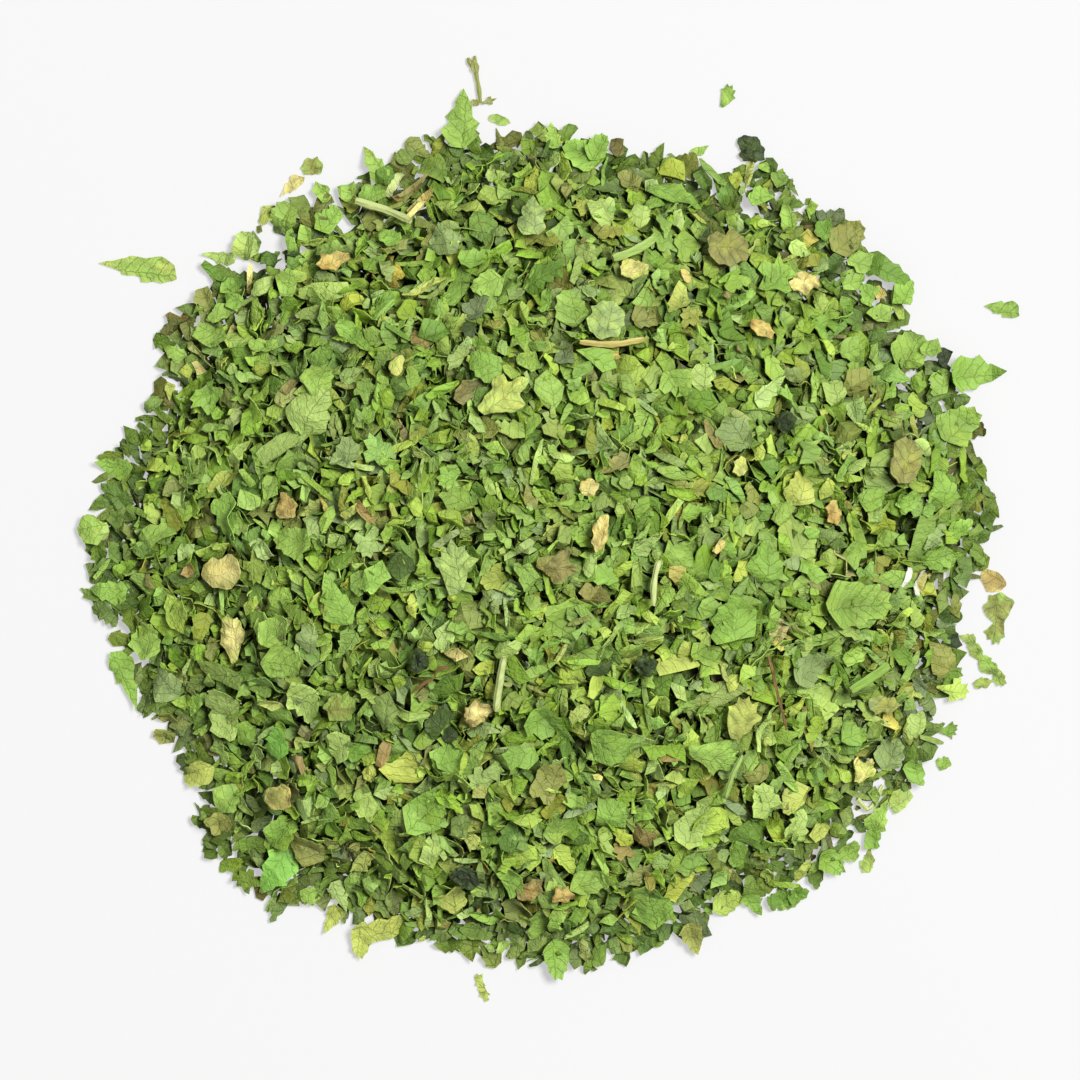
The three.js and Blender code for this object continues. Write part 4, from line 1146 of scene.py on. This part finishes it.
# Leaf pieces that lie on the table at the heap's rim, with how high each is lifted
rimLeaves = [
    (-60.6, 11.4, 6.4, 3.6, 165, "tip", "fresh", 0.4, 0.9),
    (-64.2, 2.4, 6.0, 4.6, 190, "oval", "green", 0.5, 0.8),
    (-61.8, -6.2, 6.4, 3.8, 170, "tip", "fresh", 0.3, 0.6),
    (-58.9, -18.7, 9.1, 4.0, -68, "tip", "fresh", 0.3, 0.6),
    (-53.4, -27.0, 4.6, 3.0, 190, "plate", "olive", 0.5, 0.4),
    (-45.8, -39.6, 5.6, 4.0, 200, "toothed", "olive", 0.8, 0.6),
    (-37.8, -46.4, 8.4, 5.4, 235, "tip", "leafBright", 0.3, 0.8),
    (-25.4, -55.8, 6.0, 3.4, 262, "fan", "yellowGreen", 0.5, 0.6),
    (2.4, -58.4, 6.6, 4.2, 274, "fan", "fresh", 0.6, 0.7),
    (21.8, -55.6, 5.4, 3.8, 290, "tip", "olive", 0.4, 0.5),
    (59.0, -20.2, 5.8, 3.6, -8, "lobed", "lime", 0.2, 0.5),
    (60.2, 3.0, 5.0, 3.0, 30, "tip", "fresh", 0.4, 0.6),
    (59.6, 17.4, 7.8, 6.2, 40, "fan", "green", 0.5, 0.8), (62.1, 24.8, 9.6, 5.8, 4, "tip", "fresh", 0.6, 0.9),
    (50.0, 39.4, 11.0, 3.8, -27, "tip", "deep", 0.4, 1.0),
    (43.8, 44.2, 6.4, 5.1, 40, "fan", "olive", 0.3, 1.0),
    (35.2, 47.2, 5.6, 2.8, 100, "tip", "green", 0.5, 0.9),
    (31.4, 50.2, 5.2, 3.6, 20, "oval", "fresh", 0.3, 0.8),
    (8.2, 57.0, 4.8, 3.6, 60, "fan", "fresh", 0.4, 0.7), (1.8, 58.6, 4.6, 2.6, 100, "tip", "green", 0.3, 0.6),
    (-11.2, 61.0, 9.0, 5.8, 84, "tip", "green", 0.6, 0.7),
    (-23.6, 54.6, 7.4, 3.0, 120, "tip", "green", 0.6, 0.9),
    (-52.4, 27.9, 4.6, 2.6, 150, "tip", "green", 0.3, 0.6),
    (-45.6, 41.4, 5.4, 2.2, 168, "tip", "soft", 0.5, 0.5),
    (-46.2, 39.2, 5.0, 1.5, -38, "strip", "deep", 0.3, 0.5),
    (-44.2, 37.4, 3.8, 3.2, 20, "plate", "fresh", 0.3, 0.6),
    (-42.0, 43.2, 5.2, 4.4, 92, "fan", "soft", 0.6, 0.7),
    (-41.4, 38.4, 4.6, 0.9, 85, "stem", "straw", 0.1, 0.8),
    (-39.4, 37.4, 5.0, 3.4, 30, "toothed", "soft", 0.4, 0.5),
    (-36.2, 37.4, 4.6, 3.8, 80, "plate", "green", 0.4, 0.7),
    (-38.8, 47.6, 4.4, 2.6, 215, "toothed", "yellowGreen", 0.4, 0.4),
    (-36.4, 47.4, 5.4, 4.6, 75, "fan", "green", 0.5, 0.7),
    (-35.6, 43.6, 5.0, 1.5, 94, "strip", "fresh", 0.2, 0.5),
    (-33.2, 44.6, 3.6, 3.0, 110, "plate", "green", 0.3, 0.6),
    (-34.8, 40.4, 3.4, 2.2, -20, "plate", "deep", 0.3, 0.4),
    (-30.2, 46.8, 5.8, 4.2, 52, "plate", "fresh", 0.5, 0.9),
    (-30.0, 42.6, 4.4, 3.2, 10, "toothed", "green", 0.4, 0.6),
    (-27.4, 50.6, 4.2, 3.2, 100, "plate", "green", 0.4, 0.8),
    (-24.0, 50.4, 4.6, 3.4, 20, "toothed", "fresh", 0.4, 0.7),
    (-47.8, 35.6, 4.6, 3.0, 120, "toothed", "olive", 0.4, 0.5),
    (57.0, 23.4, 4.8, 3.4, 80, "toothed", "green", 0.4, 0.6),
    (57.6, 27.2, 3.8, 3.2, 40, "toothed", "black", 0.4, 1.9),
    (55.2, 28.4, 4.4, 3.0, 10, "plate", "green", 0.4, 0.7),
    (51.8, 36.2, 5.0, 3.6, 60, "toothed", "fresh", 0.4, 0.8),
    (45.8, 40.8, 6.0, 3.8, -20, "toothed", "green", 0.4, 0.8),
    (40.4, 45.4, 4.4, 3.2, 60, "toothed", "deep", 0.4, 0.7),
    (53.6, -25.4, 5.0, 3.8, 80, "toothed", "soft", 0.5, 0.6),
    (53.2, -32.0, 4.8, 4.0, 100, "toothed", "fresh", 0.4, 0.7),
    (51.2, -36.0, 4.8, 3.4, 30, "plate", "soft", 0.4, 0.6),
    (48.4, -38.2, 5.8, 3.4, 60, "tip", "green", 0.4, 0.7),
    (47.4, -41.2, 4.8, 3.4, 80, "toothed", "fresh", 0.3, 0.5),
    (44.0, -43.2, 4.6, 3.2, 20, "toothed", "green", 0.4, 0.6),
    (41.4, -44.8, 5.0, 3.8, -40, "fan", "fresh", 0.4, 0.6),
    (36.8, -49.4, 4.0, 3.2, 0, "toothed", "deep", 0.3, 0.4),
    (34.2, -50.2, 4.6, 3.0, 30, "toothed", "deep", 0.3, 0.4),
    (30.4, -50.6, 4.6, 3.2, -60, "tip", "fresh", 0.4, 0.5),
    (-29.6, -52.8, 5.0, 3.0, 240, "tip", "yellowGreen", 0.4, 0.5),
    (-33.0, -49.8, 4.8, 3.0, 200, "toothed", "green", 0.4, 0.5),
    (31.9, 54.2, 2.4, 1.7, 150, "toothed", "green", 0.2, 0.1),
    (-46.0, 33.4, 5.0, 3.4, 20, "toothed", "green", 0.4, 0.6),
    (-43.6, 35.2, 4.8, 3.2, 140, "toothed", "fresh", 0.4, 0.7),
    (44.4, 38.2, 5.2, 3.6, 10, "toothed", "green", 0.4, 0.7),
    (46.8, 36.0, 4.8, 3.6, 70, "toothed", "fresh", 0.4, 0.7),
    (48.6, 33.4, 4.8, 3.4, 30, "plate", "green", 0.4, 0.7),
    (-22.0, 53.0, 4.6, 3.0, 40, "toothed", "deep", 0.4, 0.6),
    (-31.2, 50.6, 4.4, 3.0, 140, "toothed", "green", 0.4, 0.5),
]
showLeafSet = {
    "roll": (0.4, 1.2),
    "crinkle": 0.27,
    "tries": 6,
    "lean": (0, 12),
    "rollCuts": 7,
    "fold": (-0.25, 0.5),
    "twist": (-0.4, 0.4),
    "shade": (0.95, 1.1),
    "rimTilt": 0.24,
    "rimSink": 0.9,
    "cover": 0.4,  # the share of a leaf, at its middle, that later chips keep off
}


def makeShowShape(length, width, form):
    s = showLeafSet
    half = length / 2 * mm
    rollCuts, foldCuts = np.linspace(-0.78, 0.78, s["rollCuts"]), (-0.5, 0, 0.5)
    outline = outlineOf(form, width / length)
    bm, rollWay, foldWay = cutSheet(outline, half, dice.uniform(-0.4, 0.4), rollCuts, foldCuts)
    keepPlan(bm)
    roll, fold = dice.uniform(*s["roll"]) * dice.choice((-1, 1)), dice.uniform(*s["fold"])
    curlSheet(bm, rollWay, foldWay, half, roll, fold, dice.uniform(*s["twist"]), s["crinkle"])
    feel = feelers(bm, chipShapes["feelSpacing"] * mm)
    thicken(bm, chipShapes["thickness"] * mm)
    unwrapPlan(bm, 0, Vector((0, ribLine)))
    return {"mesh": meshOf(bm, "show_shape"), "feel": feel}


def leafValues(hue, veins):
    return (*linear(hue, dice.uniform(*showLeafSet["shade"])), veins)


# A show leaf lies at its own place as low as a few leans let it, and later chips keep off its middle
def layShowLeaf(x, y, length, width, turn, form, hue, veins):
    s = showLeafSet
    shape = makeShowShape(length, width, form)
    offsets, fit = fits[3]
    sx, sy, _ = fit @ heights[toCell(np.array([x * mm]), np.array([y * mm]))[0] + offsets]
    spin = Quaternion(up, math.radians(turn))
    best = None
    for _ in range(s["tries"]):
        angle, way = math.tan(math.radians(dice.uniform(*s["lean"]))), dice.uniform(0, math.tau)
        normal = Vector((-sx, -sy, 1)).normalized()
        normal = (normal + Vector((math.cos(way), math.sin(way), 0)) * angle).normalized()
        turned = (up.rotation_difference(normal) @ spin).to_matrix()
        points = shape["feel"] @ np.array(turned).T + np.array((x, y, 0)) * mm
        lift, index = liftOver(points, heap["sink"])
        if best is None or lift < best[0]:
            best = (lift, index, points, turned)
    lift, index, points, turned = best
    np.maximum.at(heights, index, points[:, 2] + lift + chipShapes["thickness"] * mm)
    middle = (points - points.mean(0)) * s["cover"] + points.mean(0)
    coverLess.extend(toCell(middle[:, 0], middle[:, 1]))
    matrix = Matrix.Translation((x * mm, y * mm, lift)) @ turned.to_4x4()
    return shape["mesh"], matrix, leafValues(hue, veins)


def layRimLeaf(x, y, length, width, turn, form, hue, veins, lift):
    shape = makeShowShape(length, width, form)
    outwards = Vector((x, y, 0)).normalized() * showLeafSet["rimTilt"]
    normal = (up + outwards).normalized()
    turned = (up.rotation_difference(normal) @ Quaternion(up, math.radians(turn))).to_matrix()
    points = shape["feel"] @ np.array(turned).T + np.array((x, y, 0)) * mm
    rest, index = liftOver(points, showLeafSet["rimSink"])
    rest = max(rest, lift * mm)
    np.maximum.at(heights, index, points[:, 2] + rest)
    middle = (points - points.mean(0)) * showLeafSet["cover"] + points.mean(0)
    coverLess.extend(toCell(middle[:, 0], middle[:, 1]))
    return shape["mesh"], Matrix.Translation((x * mm, y * mm, rest)) @ turned.to_4x4(), leafValues(hue, veins)


# The last chips may overlap the rims of the pieces that catch the eye
for name in onHeap:
    low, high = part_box(name)
    span = [np.arange(a, b, cell) for a, b in zip(low.xy, high.xy)]
    x, y = (a.ravel() for a in np.meshgrid(*span))
    index = toCell(x, y)
    covered = index[ceiling[index] < 1]
    heights[covered] = np.maximum(heights[covered], ceiling[covered] + heap["shelter"] * mm)
ceiling[:] = 1.0
shown = [layShowLeaf(*row) for row in showLeaves + scraps] + [layRimLeaf(*row) for row in rimLeaves]
report("show leaves", shown)
rim = coverTable(*heap["rimChips"])
report("more rim chips", rim)
keepClear[coverLess] = True
late = layMany(heap["lateChips"], 1.0, 2, 2, heap["lateBelow"] * mm)
report("late chips", late)
# The heap's surface, smoothed: chips below it get painted shade, chips standing out of it a painted highlight
evened = soften(np.where(heights > goal - 3 * mm, heights, goal).reshape(cells, cells), 30).ravel()
made = buildChips("leaf_chips_under", under) + buildChips("leaf_chips", over + rim + late)
made += buildChips("broad_leaves", shown) + buildChips("bottom_chips", layBottom(), 0)
print("chip pieces", len(made), "triangles", sum(trianglesOf(p.data) for p in made))


# A plain pale floor, lit a little from below, and soft light
studio = {
    "floorWide": 6.0, "floor": 0.3, "glow": 0.48, "sky": 0.34, "boxWide": 0.85, "boxAt": (1.0, 0.5, 2.3),
    "boxPower": 90,
}


def makeStudio():
    bm = bmesh.new()
    bmesh.ops.create_grid(bm, x_segments=4, y_segments=4, size=studio["floorWide"] / 2)
    mesh = bpy.data.meshes.new("floor")
    bm.to_mesh(mesh)
    bm.free()
    material, _, shader = newMaterial("pale_floor", 0.9, 0.1)
    shader.inputs["Base Color"].default_value = (studio["floor"], studio["floor"], studio["floor"], 1)
    shader.inputs["Emission Color"].default_value = (1, 1, 1, 1)
    shader.inputs["Emission Strength"].default_value = studio["glow"]
    mesh.materials.append(material)
    floor = bpy.data.objects.new("floor", mesh)
    floor.location.z = -0.03 * mm
    bpy.context.scene.collection.objects.link(floor)
    world = bpy.data.worlds.new("sky")
    world.use_nodes = True
    sky = world.node_tree.nodes["Background"]
    sky.inputs["Color"].default_value = (1, 1, 1, 1)
    sky.inputs["Strength"].default_value = studio["sky"]
    bpy.context.scene.world = world
    light = bpy.data.lights.new("soft_box", "AREA")
    light.shape = "SQUARE"
    light.size = studio["boxWide"]
    light.energy = studio["boxPower"]
    lamp = bpy.data.objects.new("soft_box", light)
    lamp.location = studio["boxAt"]
    lamp.rotation_euler = (-lamp.location).to_track_quat("-Z", "Y").to_euler()
    bpy.context.scene.collection.objects.link(lamp)
    bpy.context.scene.view_settings.view_transform = "Standard"


makeStudio()
